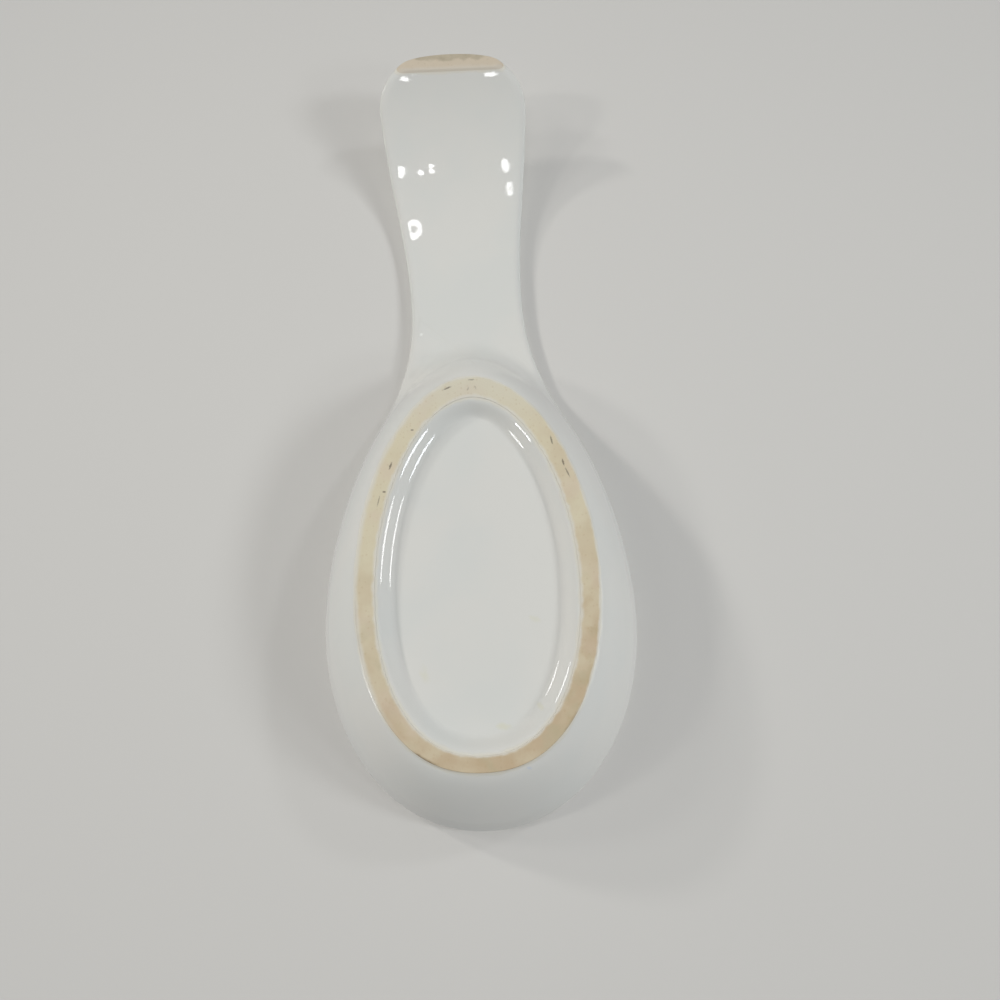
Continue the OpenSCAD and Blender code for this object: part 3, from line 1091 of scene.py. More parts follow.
@dataclass(frozen=True)
class Wiring:
    """Adds nodes to a node tree and links them.

    Attributes:
        tree: The node tree.
    """

    tree: bpy.types.NodeTree

    @classmethod
    def emptied(cls, owner: Any) -> "Wiring":
        """The node tree of a material or a world, once its first nodes are taken out.

        Args:
            owner: The material or the world.

        Returns:
            The wiring of its tree.
        """
        owner.use_nodes = True
        owner.node_tree.nodes.clear()
        return cls(owner.node_tree)

    def node(self, kind: str, **inputs: Any) -> bpy.types.Node:
        """Adds a node.

        Args:
            kind: The node's type, without ShaderNode.
            inputs: Values or sockets for its inputs, with underscores for spaces.

        Returns:
            The node.
        """
        made = self.tree.nodes.new("ShaderNode" + kind)
        for name, value in inputs.items():
            self.feed(made.inputs[name.replace("_", " ")], value)
        return made

    def feed(self, socket: bpy.types.NodeSocket, value: Any) -> None:
        """Links a socket to another one, or sets its value.

        Args:
            socket: The socket to feed.
            value: The other socket, a colour, a vector or a number.
        """
        if isinstance(value, bpy.types.NodeSocket):
            self.tree.links.new(value, socket)
        elif socket.type == "RGBA":
            socket.default_value = (*value, 1.0)
        else:
            socket.default_value = value

    def maths(self, operation: str, *values: Any) -> bpy.types.NodeSocket:
        """The result of a Math node.

        Args:
            operation: The node's operation.
            values: The one to three values that it works on.

        Returns:
            The result.
        """
        made = self.tree.nodes.new("ShaderNodeMath")
        made.operation = operation
        for socket, value in zip(made.inputs, values):
            self.feed(socket, value)
        return made.outputs[0]

    def total(self, *terms: tuple[Any, Any], start: Any = 0.0) -> bpy.types.NodeSocket:
        """A first value, plus other values that each count by their own weight.

        Args:
            terms: The other values with their weights.
            start: The first value.

        Returns:
            The total.
        """
        for value, weight in terms:
            start = self.maths("MULTIPLY_ADD", value, weight, start)
        return start

    def spread(self, value: Any, low: Any, high: Any) -> bpy.types.NodeSocket:
        """A value's share of the way between two values, eased at both ends and held to 0 to 1.

        Args:
            value: The value.
            low: The value that gives 0.
            high: The value that gives 1.

        Returns:
            The share.
        """
        made = self.node("MapRange", Value=value, From_Min=low, From_Max=high)
        made.interpolation_type = "SMOOTHSTEP"
        return made.outputs["Result"]

    def lay(self, under: Any, over: Any, mask: Any, strength: float = 1.0) -> Any:
        """One colour laid over another.

        Args:
            under: The colour under.
            over: The colour over.
            mask: Where the colour over shows.
            strength: How much of it shows there.

        Returns:
            The mixed colour.
        """
        made = self.tree.nodes.new("ShaderNodeMix")
        made.data_type = "RGBA"
        share = self.maths("MULTIPLY", mask, strength)
        for index, value in ((0, share), (6, under), (7, over)):
            self.feed(made.inputs[index], value)
        return made.outputs[2]

    def mask(self, effect: "Effect", **inputs: Any) -> bpy.types.NodeSocket:
        """The mask of a shared effect over the piece.

        Args:
            effect: The effect.
            inputs: Values or sockets for its inputs.

        Returns:
            The mask.
        """
        made = self.tree.nodes.new("ShaderNodeGroup")
        made.node_tree = effect.group()
        for name, value in {"Vector": self.place(), **inputs}.items():
            self.feed(made.inputs[name], value)
        return made.outputs["Mask"]

    def noise(self, scale: Any, detail: Any = 2.0, place: Any = None) -> bpy.types.NodeSocket:
        """Noise about a half with so many waves to a metre, over the piece or a given place."""
        place = self.place() if place is None else place
        return self.node("TexNoise", Vector=place, Scale=scale, Detail=detail).outputs[0]

    def length(self, vector: Any) -> bpy.types.NodeSocket:
        """The length of a vector.

        Args:
            vector: The vector.

        Returns:
            Its length.
        """
        made = self.node("VectorMath", Vector=vector)
        made.operation = "LENGTH"
        return made.outputs["Value"]

    def place(self) -> bpy.types.NodeSocket:
        """The place on the piece, in its own coordinates, in metres."""
        return self.node("TexCoord").outputs["Object"]

    def part(self, axis: str) -> bpy.types.NodeSocket:
        """The place on the piece along one axis, in metres."""
        return self.node("SeparateXYZ", Vector=self.place()).outputs[axis]

    def run(self, axis: str, low: float, high: float) -> bpy.types.NodeSocket:
        """Share of the way along an axis between two places in millimetres, as spread gives it."""
        return self.spread(self.part(axis), low * MM, high * MM)

    def kept(self, name: str) -> bpy.types.NodeSocket:
        """The number that each point of the mesh keeps for the material.

        Args:
            name: The name that it is kept under.

        Returns:
            The number.
        """
        made = self.tree.nodes.new("ShaderNodeAttribute")
        made.attribute_name = name
        return made.outputs["Fac"]

    def bump(self, shader: Any, height: Any, depth: float, strength: float) -> None:
        """Gives a shader fine bumps.

        Args:
            shader: The shader.
            height: Height of its bumps.
            depth: How deep a bump of height 1 is, in millimetres.
            strength: How much of the bumps shows.
        """
        made = self.node("Bump", Height=height, Distance=depth * MM, Strength=strength)
        self.feed(shader.inputs["Normal"], made.outputs[0])


class Effect:
    """A mask that changes over a surface, kept as a node group that is built once.

    Attributes:
        name: The group's name.
        vectors: Names of its vector inputs.
        numbers: Names and first values of its number inputs.
    """

    name: str = "effect"
    vectors: tuple[str, ...] = ("Vector",)
    numbers: dict[str, float] = {}

    def group(self) -> bpy.types.NodeTree:
        """The effect's node group, built when it is first asked for.

        Returns:
            The group.
        """
        made = bpy.data.node_groups.get(self.name)
        if made is not None:
            return made
        made = bpy.data.node_groups.new(self.name, "ShaderNodeTree")
        for name in self.vectors:
            made.interface.new_socket(name, in_out="INPUT", socket_type="NodeSocketVector")
        for name, value in self.numbers.items():
            socket = made.interface.new_socket(name, in_out="INPUT", socket_type="NodeSocketFloat")
            socket.default_value = value
        made.interface.new_socket("Mask", in_out="OUTPUT", socket_type="NodeSocketFloat")
        given = made.nodes.new("NodeGroupInput").outputs
        result = made.nodes.new("NodeGroupOutput").inputs["Mask"]
        made.links.new(self.draw(Wiring(made), given), result)
        return made

    def draw(self, wiring: Wiring, given: Any) -> bpy.types.NodeSocket:
        """Fills the group from its inputs, and returns its mask."""
        raise NotImplementedError


class Mottle(Effect):
    """Soft clouds: noise, spread between a low and a high value."""

    name = "mottle"
    numbers = {"Scale": 100.0, "Detail": 2.0, "Low": 0.35, "High": 0.65}

    def draw(self, wiring: Wiring, given: Any) -> bpy.types.NodeSocket:
        """Noise at the scale, eased from the low value to the high one."""
        noise = wiring.noise(given["Scale"], given["Detail"], given["Vector"])
        return wiring.spread(noise, given["Low"], given["High"])


class Specks(Effect):
    """Small round specks, one in a share of the cells of a random pattern."""

    name = "specks"
    numbers = {"Scale": 300.0, "Size": 0.2, "Share": 0.3}

    def draw(self, wiring: Wiring, given: Any) -> bpy.types.NodeSocket:
        """Nearness to a cell's middle, in the cells whose random number is under the share.

        Args:
            wiring: The group's wiring.
            given: The group's inputs.

        Returns:
            The mask.
        """
        cells = wiring.node("TexVoronoi", Vector=given["Vector"], Scale=given["Scale"])
        near = wiring.spread(cells.outputs["Distance"], given["Size"], 0.0)
        number = wiring.node("SeparateColor", Color=cells.outputs["Color"]).outputs[0]
        return wiring.maths("MULTIPLY", near, wiring.maths("LESS_THAN", number, given["Share"]))


class Spot(Effect):
    """One frayed oval spot, at its own place, turn and size."""

    name = "spot"
    vectors = ("Vector", "Middle", "Turn", "Reach")
    numbers = {"Fray": 0.6, "Grain": 900.0, "Soft": 0.5}

    def draw(self, wiring: Wiring, given: Any) -> bpy.types.NodeSocket:
        """The place seen from the spot's middle, over its reach, plus noise, eased at its edge.

        Args:
            wiring: The group's wiring.
            given: The group's inputs.

        Returns:
            The mask.
        """
        names = {"Location": "Middle", "Rotation": "Turn", "Scale": "Reach", "Vector": "Vector"}
        local = wiring.node("Mapping", **{own: given[name] for own, name in names.items()})
        local.vector_type = "TEXTURE"
        noise = wiring.noise(given["Grain"], place=given["Vector"])
        away = wiring.length(local.outputs[0])
        frayed = wiring.total((noise, given["Fray"]), (given["Fray"], -0.5), start=away)
        return wiring.spread(frayed, 1.0, wiring.maths("SUBTRACT", 1.0, given["Soft"]))


class SoftEdge(Effect):
    """A band along an edge, with a wavy border: full at the edge and nothing past its width."""

    name = "soft_edge"
    numbers = {"Distance": 0.0, "Width": 1.0, "Wave": 1.0, "Scale": 300.0}

    def draw(self, wiring: Wiring, given: Any) -> bpy.types.NodeSocket:
        """The distance from the edge plus noise, eased from the width down to nothing.

        Args:
            wiring: The group's wiring.
            given: The group's inputs.

        Returns:
            The mask.
        """
        noise = wiring.noise(given["Scale"], 3.0, given["Vector"])
        waves = wiring.maths("SUBTRACT", noise, 0.5)
        wavy = wiring.total((waves, given["Wave"]), start=given["Distance"])
        return wiring.spread(wavy, given["Width"], 0.0)


@dataclass(frozen=True)
class Blot:
    """A stain, a fleck or a scratch at one place of the piece.

    Attributes:
        x: Its place across, in millimetres.
        y: Its place along, in millimetres from the middle of the piece.
        length: Half its length.
        width: Half its width.
        turn: Its direction, in degrees from across.
        strength: How much of its colour shows.
        depth: How deep into the piece it reaches, in millimetres.
        frays: How many waves of its ragged edge go to half its width.
    """

    x: float
    y: float
    length: float
    width: float
    turn: float = 0.0
    strength: float = 1.0
    depth: float = 10.0
    frays: float = 0.9

    def mask(self, wiring: Wiring, fray: float, soft: float) -> bpy.types.NodeSocket:
        """Its mask in a material's tree.

        Args:
            wiring: The material's wiring.
            fray: How ragged its edge is.
            soft: How soft its edge is.

        Returns:
            The mask, times its strength.
        """
        spot = wiring.mask(
            Spot(),
            Middle=(self.x * MM, self.y * MM, 0.0),
            Turn=(0.0, 0.0, math.radians(self.turn)),
            Reach=(self.length * MM, self.width * MM, self.depth * MM),
            Fray=fray,
            Grain=self.frays / (self.width * MM),
            Soft=soft,
        )
        return wiring.maths("MULTIPLY", spot, self.strength)


class Finish:
    """A finish: a named material that is built once and shared by its pieces."""

    name: str = "finish"

    def material(self) -> bpy.types.Material:
        """The finish's material, built when it is first asked for.

        Returns:
            The material.
        """
        made = bpy.data.materials.get(self.name)
        if made is None:
            made = bpy.data.materials.new(self.name)
            made.use_nodes = True
            self.dress(Wiring(made.node_tree), made.node_tree.nodes["Principled BSDF"])
        return made

    def dress(self, wiring: Wiring, shader: bpy.types.Node) -> None:
        """Fills the material's node tree and feeds its shader."""
        raise NotImplementedError


@dataclass(frozen=True)
class Glaze(Finish):
    """White porcelain glaze: glossy, faintly clouded and waved, and creamy at its edges.

    Attributes:
        name: The material's name.
        white: Its colour.
        cloud: Its colour in the faint clouds.
        cream: Its colour where it thins out beside bare clay.
        pit: Colour of its few pinholes.
        stain: Colour of the old stains.
        stains: The stains in the well.
        chill: Colour of the cool flecks.
        flecks: The cool flecks beside the ring.
    """

    name: str = "porcelain_glaze"
    white: Colour = (0.748, 0.744, 0.712)
    cloud: Colour = (0.724, 0.732, 0.706)
    cream: Colour = (0.725, 0.68, 0.565)
    pit: Colour = (0.42, 0.4, 0.35)
    stain: Colour = (0.7, 0.685, 0.5)
    stains: tuple[Blot, ...] = (
        Blot(-14.8, -68.4, 2.2, 1.2, 20.0, 0.35),
        Blot(-5.5, -95.2, 2.8, 1.3, 10.0, 0.45),
        Blot(-14.8, -90.5, 1.8, 1.1, 50.0, 0.35),
        Blot(14.3, -81.6, 3.4, 1.6, 70.0, 0.3),
    )
    chill: Colour = (0.6, 0.66, 0.75)
    flecks: tuple[Blot, ...] = (Blot(-11.3, -105.1, 1.0, 0.5, 15.0, 0.6),)

    def dress(self, wiring: Wiring, shader: bpy.types.Node) -> None:
        """Clouds, then stains, the creamy edge and pinholes, with a gentle wave under the gloss.

        Args:
            wiring: The material's wiring.
            shader: Its shader.
        """
        clouds = wiring.mask(Mottle(), Scale=38.0, Detail=3.0, Low=0.38, High=0.66)
        colour = wiring.lay(self.white, self.cloud, clouds)
        for blots, tint in ((self.stains, self.stain), (self.flecks, self.chill)):
            for blot in blots:
                colour = wiring.lay(colour, tint, blot.mask(wiring, fray=0.9, soft=0.8))
        bare_edge = wiring.kept("bare_edge")
        edge = wiring.mask(SoftEdge(), Distance=bare_edge, Width=1.1, Wave=1.5, Scale=260.0)
        colour = wiring.lay(colour, self.cream, edge, strength=0.6)
        pits = wiring.mask(Specks(), Scale=160.0, Size=0.035, Share=0.12)
        colour = wiring.lay(colour, self.pit, pits, strength=0.5)
        rough = wiring.total((clouds, 0.02), (edge, 0.4), start=0.02)
        slow = wiring.noise(scale=40.0, detail=1.0)
        height = wiring.total((wiring.noise(scale=420.0), 0.1), start=slow)
        wiring.feed(shader.inputs["Base Color"], colour)
        wiring.feed(shader.inputs["Roughness"], rough)
        wiring.bump(shader, height, depth=0.02, strength=1.0)


@dataclass(frozen=True)
class BareClay(Finish):
    """The foot ring's ground clay: cream, warmer and browner towards the front, and stained.

    Attributes:
        name: The material's name.
        cream: Its colour on the handle's side and on the left.
        tan: Its colour half way to the front.
        brown: Its colour at the front.
        pale: Its colour beside the handle.
        rust: Colour of the orange-brown blotches at the front right, and of the grit.
        olive: Colour of the duller blotches at the front.
        rose: Colour of the faint pink blotches all round.
        glazed: Its colour where a film of glaze has crept over its edges.
        dirt: Colour of the flecks and scratches.
        line: Colour of the dirt along the outer edge.
        blots: The flecks and scratches.
        rim_blots: Stretches of the outer edge that hold a line of dirt.
        right_weight: How much warmer it gets to the right.
        front_weight: How much warmer it gets to the front.
        cloud_weight: How much the clouds change its warmth.
    """

    name: str = "bare_ground_clay"
    cream: Colour = (0.71, 0.645, 0.475)
    tan: Colour = (0.655, 0.565, 0.405)
    brown: Colour = (0.575, 0.455, 0.305)
    pale: Colour = (0.71, 0.69, 0.6)
    rust: Colour = (0.52, 0.385, 0.22)
    olive: Colour = (0.5, 0.455, 0.3)
    rose: Colour = (0.69, 0.56, 0.45)
    glazed: Colour = (0.735, 0.715, 0.65)
    dirt: Colour = (0.13, 0.105, 0.08)
    line: Colour = (0.25, 0.18, 0.11)
    blots: tuple[Blot, ...] = (
        Blot(6.7, -2.2, 1.6, 0.35, -25.0, 0.75),
        Blot(16.9, -14.7, 0.5, 0.35, 0.0, 0.7),
        Blot(22.9, -25.1, 1.3, 0.4, -71.0, 0.75),
        Blot(24.6, -32.6, 0.55, 0.4, 0.0, 0.8),
        Blot(26.1, -35.1, 2.0, 0.22, -77.0, 0.55),
        Blot(-21.9, -19.4, 1.7, 0.32, 79.0, 0.7),
        Blot(-24.7, -26.1, 1.3, 0.35, 80.0, 0.75),
        Blot(-25.7, -29.1, 1.9, 0.28, 68.0, 0.65),
        Blot(-0.1, 0.1, 1.2, 0.25, 0.0, 0.6),
        Blot(0.9, -2.6, 0.3, 0.8, 20.0, 0.3),
        Blot(-1.2, -2.3, 0.3, 0.8, -20.0, 0.25),
    )
    rim_blots: tuple[Blot, ...] = (
        Blot(13.2, -101.2, 10.5, 4.0, -30.0, 0.85),
        Blot(31.4, -70.0, 12.0, 3.0, 90.0, 0.2),
        Blot(-21.0, -93.0, 12.0, 4.0, 55.0, 0.3),
    )
    right_weight: float = 0.22
    front_weight: float = 0.72
    cloud_weight: float = 0.45

    def dress(self, wiring: Wiring, shader: bpy.types.Node) -> None:
        """A warm run of colours to the front, then blotches, grit, a film of glaze and dirt.

        Formula: the warmth grows towards the front and the right, with clouds on it, and takes
        the colour from cream to tan and on to brown.

        Args:
            wiring: The material's wiring.
            shader: Its shader.
        """
        across = wiring.kept("across")
        front, right = wiring.run("Y", -28.0, -108.0), wiring.run("X", 22.0, -30.0)
        clouds = wiring.mask(Mottle(), Scale=110.0, Detail=4.0, Low=0.3, High=0.7)
        warm = wiring.total(
            (right, self.right_weight),
            (front, self.front_weight),
            (clouds, self.cloud_weight),
            start=-self.cloud_weight / 2,
        )
        colour = wiring.lay(self.cream, self.tan, wiring.spread(warm, 0.0, 0.55))
        colour = wiring.lay(colour, self.brown, wiring.spread(warm, 0.5, 1.0))
        for tint, where, strength, scale, low in (
            (self.rust, wiring.maths("MULTIPLY", front, right), 0.8, 190.0, 0.45),
            (self.olive, front, 0.5, 150.0, 0.5),
            (self.rose, 1.0, 0.35, 95.0, 0.5),
        ):
            patches = wiring.mask(Mottle(), Scale=scale, Detail=5.0, Low=low, High=0.68)
            colour = wiring.lay(colour, tint, wiring.maths("MULTIPLY", patches, where), strength)
        colour = wiring.lay(colour, self.pale, wiring.run("Y", -20.0, 0.0), strength=0.5)
        grit = wiring.mask(Specks(), Scale=1100.0, Size=0.5, Share=0.3)
        colour = wiring.lay(colour, self.rust, grit, strength=0.28)
        inner = wiring.maths("SUBTRACT", 1.0, across)
        crept = wiring.mask(SoftEdge(), Distance=inner, Width=0.2, Wave=0.28, Scale=330.0)
        reach = wiring.total((wiring.run("X", -10.0, 30.0), 0.16), start=0.12)
        lapped = wiring.mask(SoftEdge(), Distance=across, Width=reach, Wave=0.26, Scale=210.0)
        lapped = wiring.maths("MULTIPLY", lapped, wiring.spread(front, 1.0, 0.75))
        film = wiring.maths("MULTIPLY", wiring.maths("MAXIMUM", crept, lapped), 0.85)
        colour = wiring.lay(colour, self.glazed, film)
        outer = wiring.mask(SoftEdge(), Distance=across, Width=0.14, Wave=0.14, Scale=500.0)
        for blot in self.rim_blots:
            line = wiring.maths("MULTIPLY", outer, blot.mask(wiring, fray=0.3, soft=0.6))
            colour = wiring.lay(colour, self.line, line)
        for blot in self.blots:
            colour = wiring.lay(colour, self.dirt, blot.mask(wiring, fray=1.1, soft=0.6))
        rough = wiring.total((clouds, 0.15), (film, -0.4), start=0.62)
        height = wiring.total((grit, -0.6), start=wiring.noise(scale=1500.0, detail=3.0))
        wiring.feed(shader.inputs["Base Color"], colour)
        wiring.feed(shader.inputs["Roughness"], rough)
        wiring.bump(shader, height, depth=0.06, strength=0.8)


@dataclass(frozen=True)
class TipClay(Finish):
    """The tip's ground clay: tan, olive-brown along its outer side, and pale towards the glaze.

    Attributes:
        name: The material's name.
        tan: Its colour on the inner side.
        olive: Its colour on the outer side.
        dark: Its colour in the deepest of the outer side's stains.
        grit: Colour of its coarser grains.
        cloud: Its colour in the pale clouds.
        pale: Its colour beside the handle's glaze; partly a glaze film, partly painted light.
        middle: Place of the tip's middle across, in millimetres.
        half: Half the tip's width.
        wander: How much the olive band's border wanders, as a share of the way across.
        thinning: How much thinner the olive band gets to its ends, as such a share.
    """

    name: str = "bare_tip_clay"
    tan: Colour = (0.63, 0.545, 0.43)
    olive: Colour = (0.49, 0.43, 0.325)
    dark: Colour = (0.36, 0.31, 0.225)
    grit: Colour = (0.42, 0.33, 0.22)
    cloud: Colour = (0.7, 0.62, 0.5)
    pale: Colour = (0.65, 0.6, 0.52)
    middle: float = 3.7
    half: float = 16.5
    wander: float = 0.9
    thinning: float = 0.3

    def dress(self, wiring: Wiring, shader: bpy.types.Node) -> None:
        """The olive band and its stains, then grit, pale clouds and the pale edge.

        Formula: the share of the way to the outer side, plus noise, less the distance from the
        tip's middle, says where the band begins.

        Args:
            wiring: The material's wiring.
            shader: Its shader.
        """
        across = wiring.kept("across")
        beside = wiring.maths("SUBTRACT", wiring.part("X"), self.middle * MM)
        waves = (wiring.noise(scale=230.0, detail=4.0), self.wander)
        ends = (wiring.maths("ABSOLUTE", beside), -self.thinning / (self.half * MM))
        outer = wiring.total((across, 1.0), waves, ends, start=-self.wander / 2)
        colour = wiring.lay(self.tan, self.olive, wiring.spread(outer, 0.4, 0.62))
        stains = wiring.mask(Mottle(), Scale=330.0, Detail=4.0, Low=0.45, High=0.7)
        deep = wiring.maths("MULTIPLY", wiring.spread(outer, 0.5, 0.8), stains)
        colour = wiring.lay(colour, self.dark, deep, strength=0.7)
        grit = wiring.mask(Specks(), Scale=1000.0, Size=0.5, Share=0.3)
        colour = wiring.lay(colour, self.grit, grit, strength=0.25)
        clouds = wiring.mask(Mottle(), Scale=300.0, Detail=3.0, Low=0.35, High=0.7)
        colour = wiring.lay(colour, self.cloud, clouds, strength=0.2)
        # Pale inner edge: partly a thin film of glaze, partly painted light that lifts the shade
        # on the inner side.
        film = wiring.mask(SoftEdge(), Distance=across, Width=0.3, Wave=0.25, Scale=260.0)
        colour = wiring.lay(colour, self.pale, film, strength=0.75)
        rough = wiring.total((clouds, 0.12), (film, -0.3), start=0.65)
        grain = wiring.noise(scale=1400.0, detail=3.0)
        wiring.feed(shader.inputs["Base Color"], colour)
        wiring.feed(shader.inputs["Roughness"], rough)
        wiring.bump(shader, grain, depth=0.06, strength=0.8)


@dataclass(frozen=True)
class InnerClay(Finish):
    """The fired clay under the glaze: off-white, with a fine grain.

    Attributes:
        name: The material's name.
        body: Its colour.
        grain: Its colour in the grain.
    """

    name: str = "fired_clay"
    body: Colour = (0.76, 0.74, 0.68)
    grain: Colour = (0.68, 0.65, 0.58)

    def dress(self, wiring: Wiring, shader: bpy.types.Node) -> None:
        """Fine clouds of a darker grain.

        Args:
            wiring: The material's wiring.
            shader: Its shader.
        """
        clouds = wiring.mask(Mottle(), Scale=600.0, Detail=4.0, Low=0.4, High=0.7)
        wiring.feed(shader.inputs["Base Color"], wiring.lay(self.body, self.grain, clouds))
        wiring.feed(shader.inputs["Roughness"], wiring.total((clouds, 0.1), start=0.75))


def settle(piece: bpy.types.Object, finish: Finish, slot: Slot, *nodes: str) -> None:
    """Dresses a piece, sets it on its body and has it stand for its CAD nodes.

    Args:
        piece: The finished piece.
        finish: Its finish.
        slot: The record's material slot; not used.
        nodes: The CAD nodes that it replaces.
    """
    piece.data.materials.append(finish.material())
    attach(piece, BODY)
    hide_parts(*nodes)
    LOG.info("%s: %d points, for %s", piece.name, len(piece.data.vertices), ", ".join(nodes))


@dataclass(frozen=True)
class Camera:
    """The camera at the photograph's viewing angle, under the piece and looking up at it.

    Attributes:
        target: The point that the middle of the picture shows, in millimetres.
        distance: From the camera to the target, in millimetres.
        tilt: Angle of the view from straight up, in degrees.
        roll: Turn of the picture, counter-clockwise, in degrees.
        view_ratio: Focal length over the picture's width.
        sensor: Sensor width, in millimetres.
        nearest: Nearest that it sees, in millimetres.
    """

    target: Place = (-6.9, -28.0, 26.2)
    distance: float = 231.0
    tilt: float = 17.6
    roll: float = 2.4
    view_ratio: float = 0.75
    sensor: float = 36.0
    nearest: float = 10.0

    def build(self) -> None:
        """Adds the camera and makes it the scene's own.

        Formula: the view runs up and away from the front of the dish by the tilt, and the
        picture's right and up directions turn about it by the roll.
        """
        sine, cosine = math.sin(math.radians(self.tilt)), math.cos(math.radians(self.tilt))
        ahead = Vector((0.0, sine, cosine))
        level, rising = Vector((-1.0, 0.0, 0.0)), Vector((0.0, cosine, -sine))
        roll = math.radians(self.roll)
        right = level * math.cos(roll) - rising * math.sin(roll)
        up = level * math.sin(roll) + rising * math.cos(roll)
        place = (Vector(self.target) - ahead * self.distance) * MM
        turn = Matrix((right, up, -ahead)).transposed().to_4x4()
        data = bpy.data.cameras.new("camera")
        data.sensor_width = self.sensor
        data.lens = self.sensor * self.view_ratio
        data.clip_start = self.nearest * MM
        camera = bpy.data.objects.new("camera", data)
        camera.matrix_world = Matrix.Translation(place) @ turn
        bpy.context.scene.collection.objects.link(camera)
        bpy.context.scene.camera = camera


def on_stage(
    name: str, points: Array, faces: list[list[int]], material: bpy.types.Material
) -> bpy.types.Object:
    """Puts a mesh on the stage, outside the object.

    Args:
        name: The object's name.
        points: Its points, in metres.
        faces: Its faces, as numbers of points.
        material: Its material.

    Returns:
        The object.
    """
    mesh = bpy.data.meshes.new(name)
    mesh.from_pydata(points.tolist(), [], faces)
    mesh.materials.append(material)
    made = bpy.data.objects.new(name, mesh)
    bpy.context.scene.collection.objects.link(made)
    return made


def rectangle(width: float, depth: float) -> Array:
    """The corners of a level rectangle round the origin, counter-clockwise from above."""
    x, y = width / 2, depth / 2
    return np.array([(-x, -y, 0.0), (x, -y, 0.0), (x, y, 0.0), (-x, y, 0.0)])


def hang_glow(
    name: str, place: Place, flat: Array, faces: list[list[int]], strength: float, colour: Colour
) -> bpy.types.Object:
    """Hangs a flat mesh, glowing or dark, which no camera sees and which casts no shadow.

    Formula: the flat points turn until they face the piece, and move to the place.

    Args:
        name: The object's name.
        place: Where its middle goes, in millimetres.
        flat: Its points before the turn, level, in millimetres.
        faces: Its faces, as numbers of points.
        strength: How bright it glows.
        colour: Its colour.

    Returns:
        The object.
    """
    middle = Vector(place) * MM
    turned = np.array(middle.to_track_quat("Z", "Y").to_matrix())
    material = bpy.data.materials.new(name)
    wiring = Wiring.emptied(material)
    glow = wiring.node("Emission", Color=colour, Strength=strength)
    wiring.node("OutputMaterial", Surface=glow.outputs[0])
    made = on_stage(name, flat * MM @ turned.T + np.array(middle), faces, material)
    made.visible_camera = False
    made.visible_shadow = False
    return made


@dataclass(frozen=True)
class Sheet:
    """A level sheet that only the camera sees, and only from its own side.

    One lies under the piece and one over it, so that it shows on a plain ground from above and
    from below. Its colour fades out towards its border, into the world's darker tone: a painted
    falloff of light, brightest near the piece.

    Attributes:
        name: The sheet's name.
        height: Its height, in millimetres.
        faces_up: Whether it shows from above.
        colour: Its colour.
        reach: Half its width, in millimetres.
        full_share: Share of its reach within which it doesn't fade.
    """

    name: str
    height: float
    faces_up: bool
    colour: Colour = (0.68, 0.67, 0.65)
    reach: float = 420.0
    full_share: float = 0.1

    def build(self) -> None:
        """Adds the sheet: clear for every ray but the camera's, from behind, and far out."""
        order = [0, 1, 2, 3] if self.faces_up else [3, 2, 1, 0]
        points = (rectangle(2 * self.reach, 2 * self.reach) + (0.0, 0.0, self.height)) * MM
        material = bpy.data.materials.new(self.name)
        wiring = Wiring.emptied(material)
        camera = wiring.node("LightPath").outputs["Is Camera Ray"]
        behind = wiring.node("NewGeometry").outputs["Backfacing"]
        seen = wiring.maths("MULTIPLY", camera, wiring.maths("SUBTRACT", 1.0, behind))
        reach = self.reach * MM
        # The fade into the world's darker tone paints a falloff of light towards the border.
        near = wiring.spread(wiring.length(wiring.place()), reach, self.full_share * reach)
        cloth = wiring.node("BsdfDiffuse", Color=self.colour)
        mixed = wiring.node("MixShader", Fac=wiring.maths("MULTIPLY", seen, near))
        wiring.feed(mixed.inputs[1], wiring.node("BsdfTransparent").outputs[0])
        wiring.feed(mixed.inputs[2], cloth.outputs[0])
        wiring.node("OutputMaterial", Surface=mixed.outputs[0])
        on_stage(self.name, points, [order], material)


def towards(tilt: float, turn: float, below: bool = True) -> Vector:
    """The direction of a lamp.

    Formula: the sine of the tilt goes sideways and its cosine down, or up for a lamp above.

    Args:
        tilt: Angle from straight below, or above, in degrees.
        turn: Direction in degrees, as the photograph shows it: 0 is right and 90 is up.
        below: Whether the lamp is below the piece, on the photograph's side.

    Returns:
        The direction from the piece.
    """
    side, drop = math.sin(math.radians(tilt)), math.cos(math.radians(tilt))
    across, along = -math.cos(math.radians(turn)), math.sin(math.radians(turn))
    return Vector((side * across, side * along, -drop if below else drop))


@dataclass(frozen=True)
class SoftLamp:
    """A soft round lamp that lights the piece and casts its shadow, but leaves no highlight.

    Attributes:
        name: The lamp's name.
        tilt: Angle from straight below, or above, in degrees.
        turn: Direction in degrees, as towards takes it.
        power: Its power, in watts.
        size: Its width, in millimetres.
        colour: Its colour.
        below: Whether it is below the piece, on the photograph's side.
        distance: How far off it is, in millimetres.
    """

    name: str
    tilt: float
    turn: float
    power: float
    size: float = 300.0
    colour: Colour = (1.0, 1.0, 1.0)
    below: bool = True
    distance: float = 1500.0

    def build(self) -> None:
        """Adds the lamp.

        Formula: it lies its distance away in its own direction, and faces the piece.
        """
        data = bpy.data.lights.new(self.name, "AREA")
        data.shape = "DISK"
        data.size = self.size * MM
        data.energy = self.power
        data.color = self.colour
        lamp = bpy.data.objects.new(self.name, data)
        away = towards(self.tilt, self.turn, self.below)
        lamp.matrix_world = Matrix.Translation(away * self.distance * MM) @ (
            away.to_track_quat("Z", "Y").to_matrix().to_4x4()
        )
        lamp.visible_glossy = False
        bpy.context.scene.collection.objects.link(lamp)


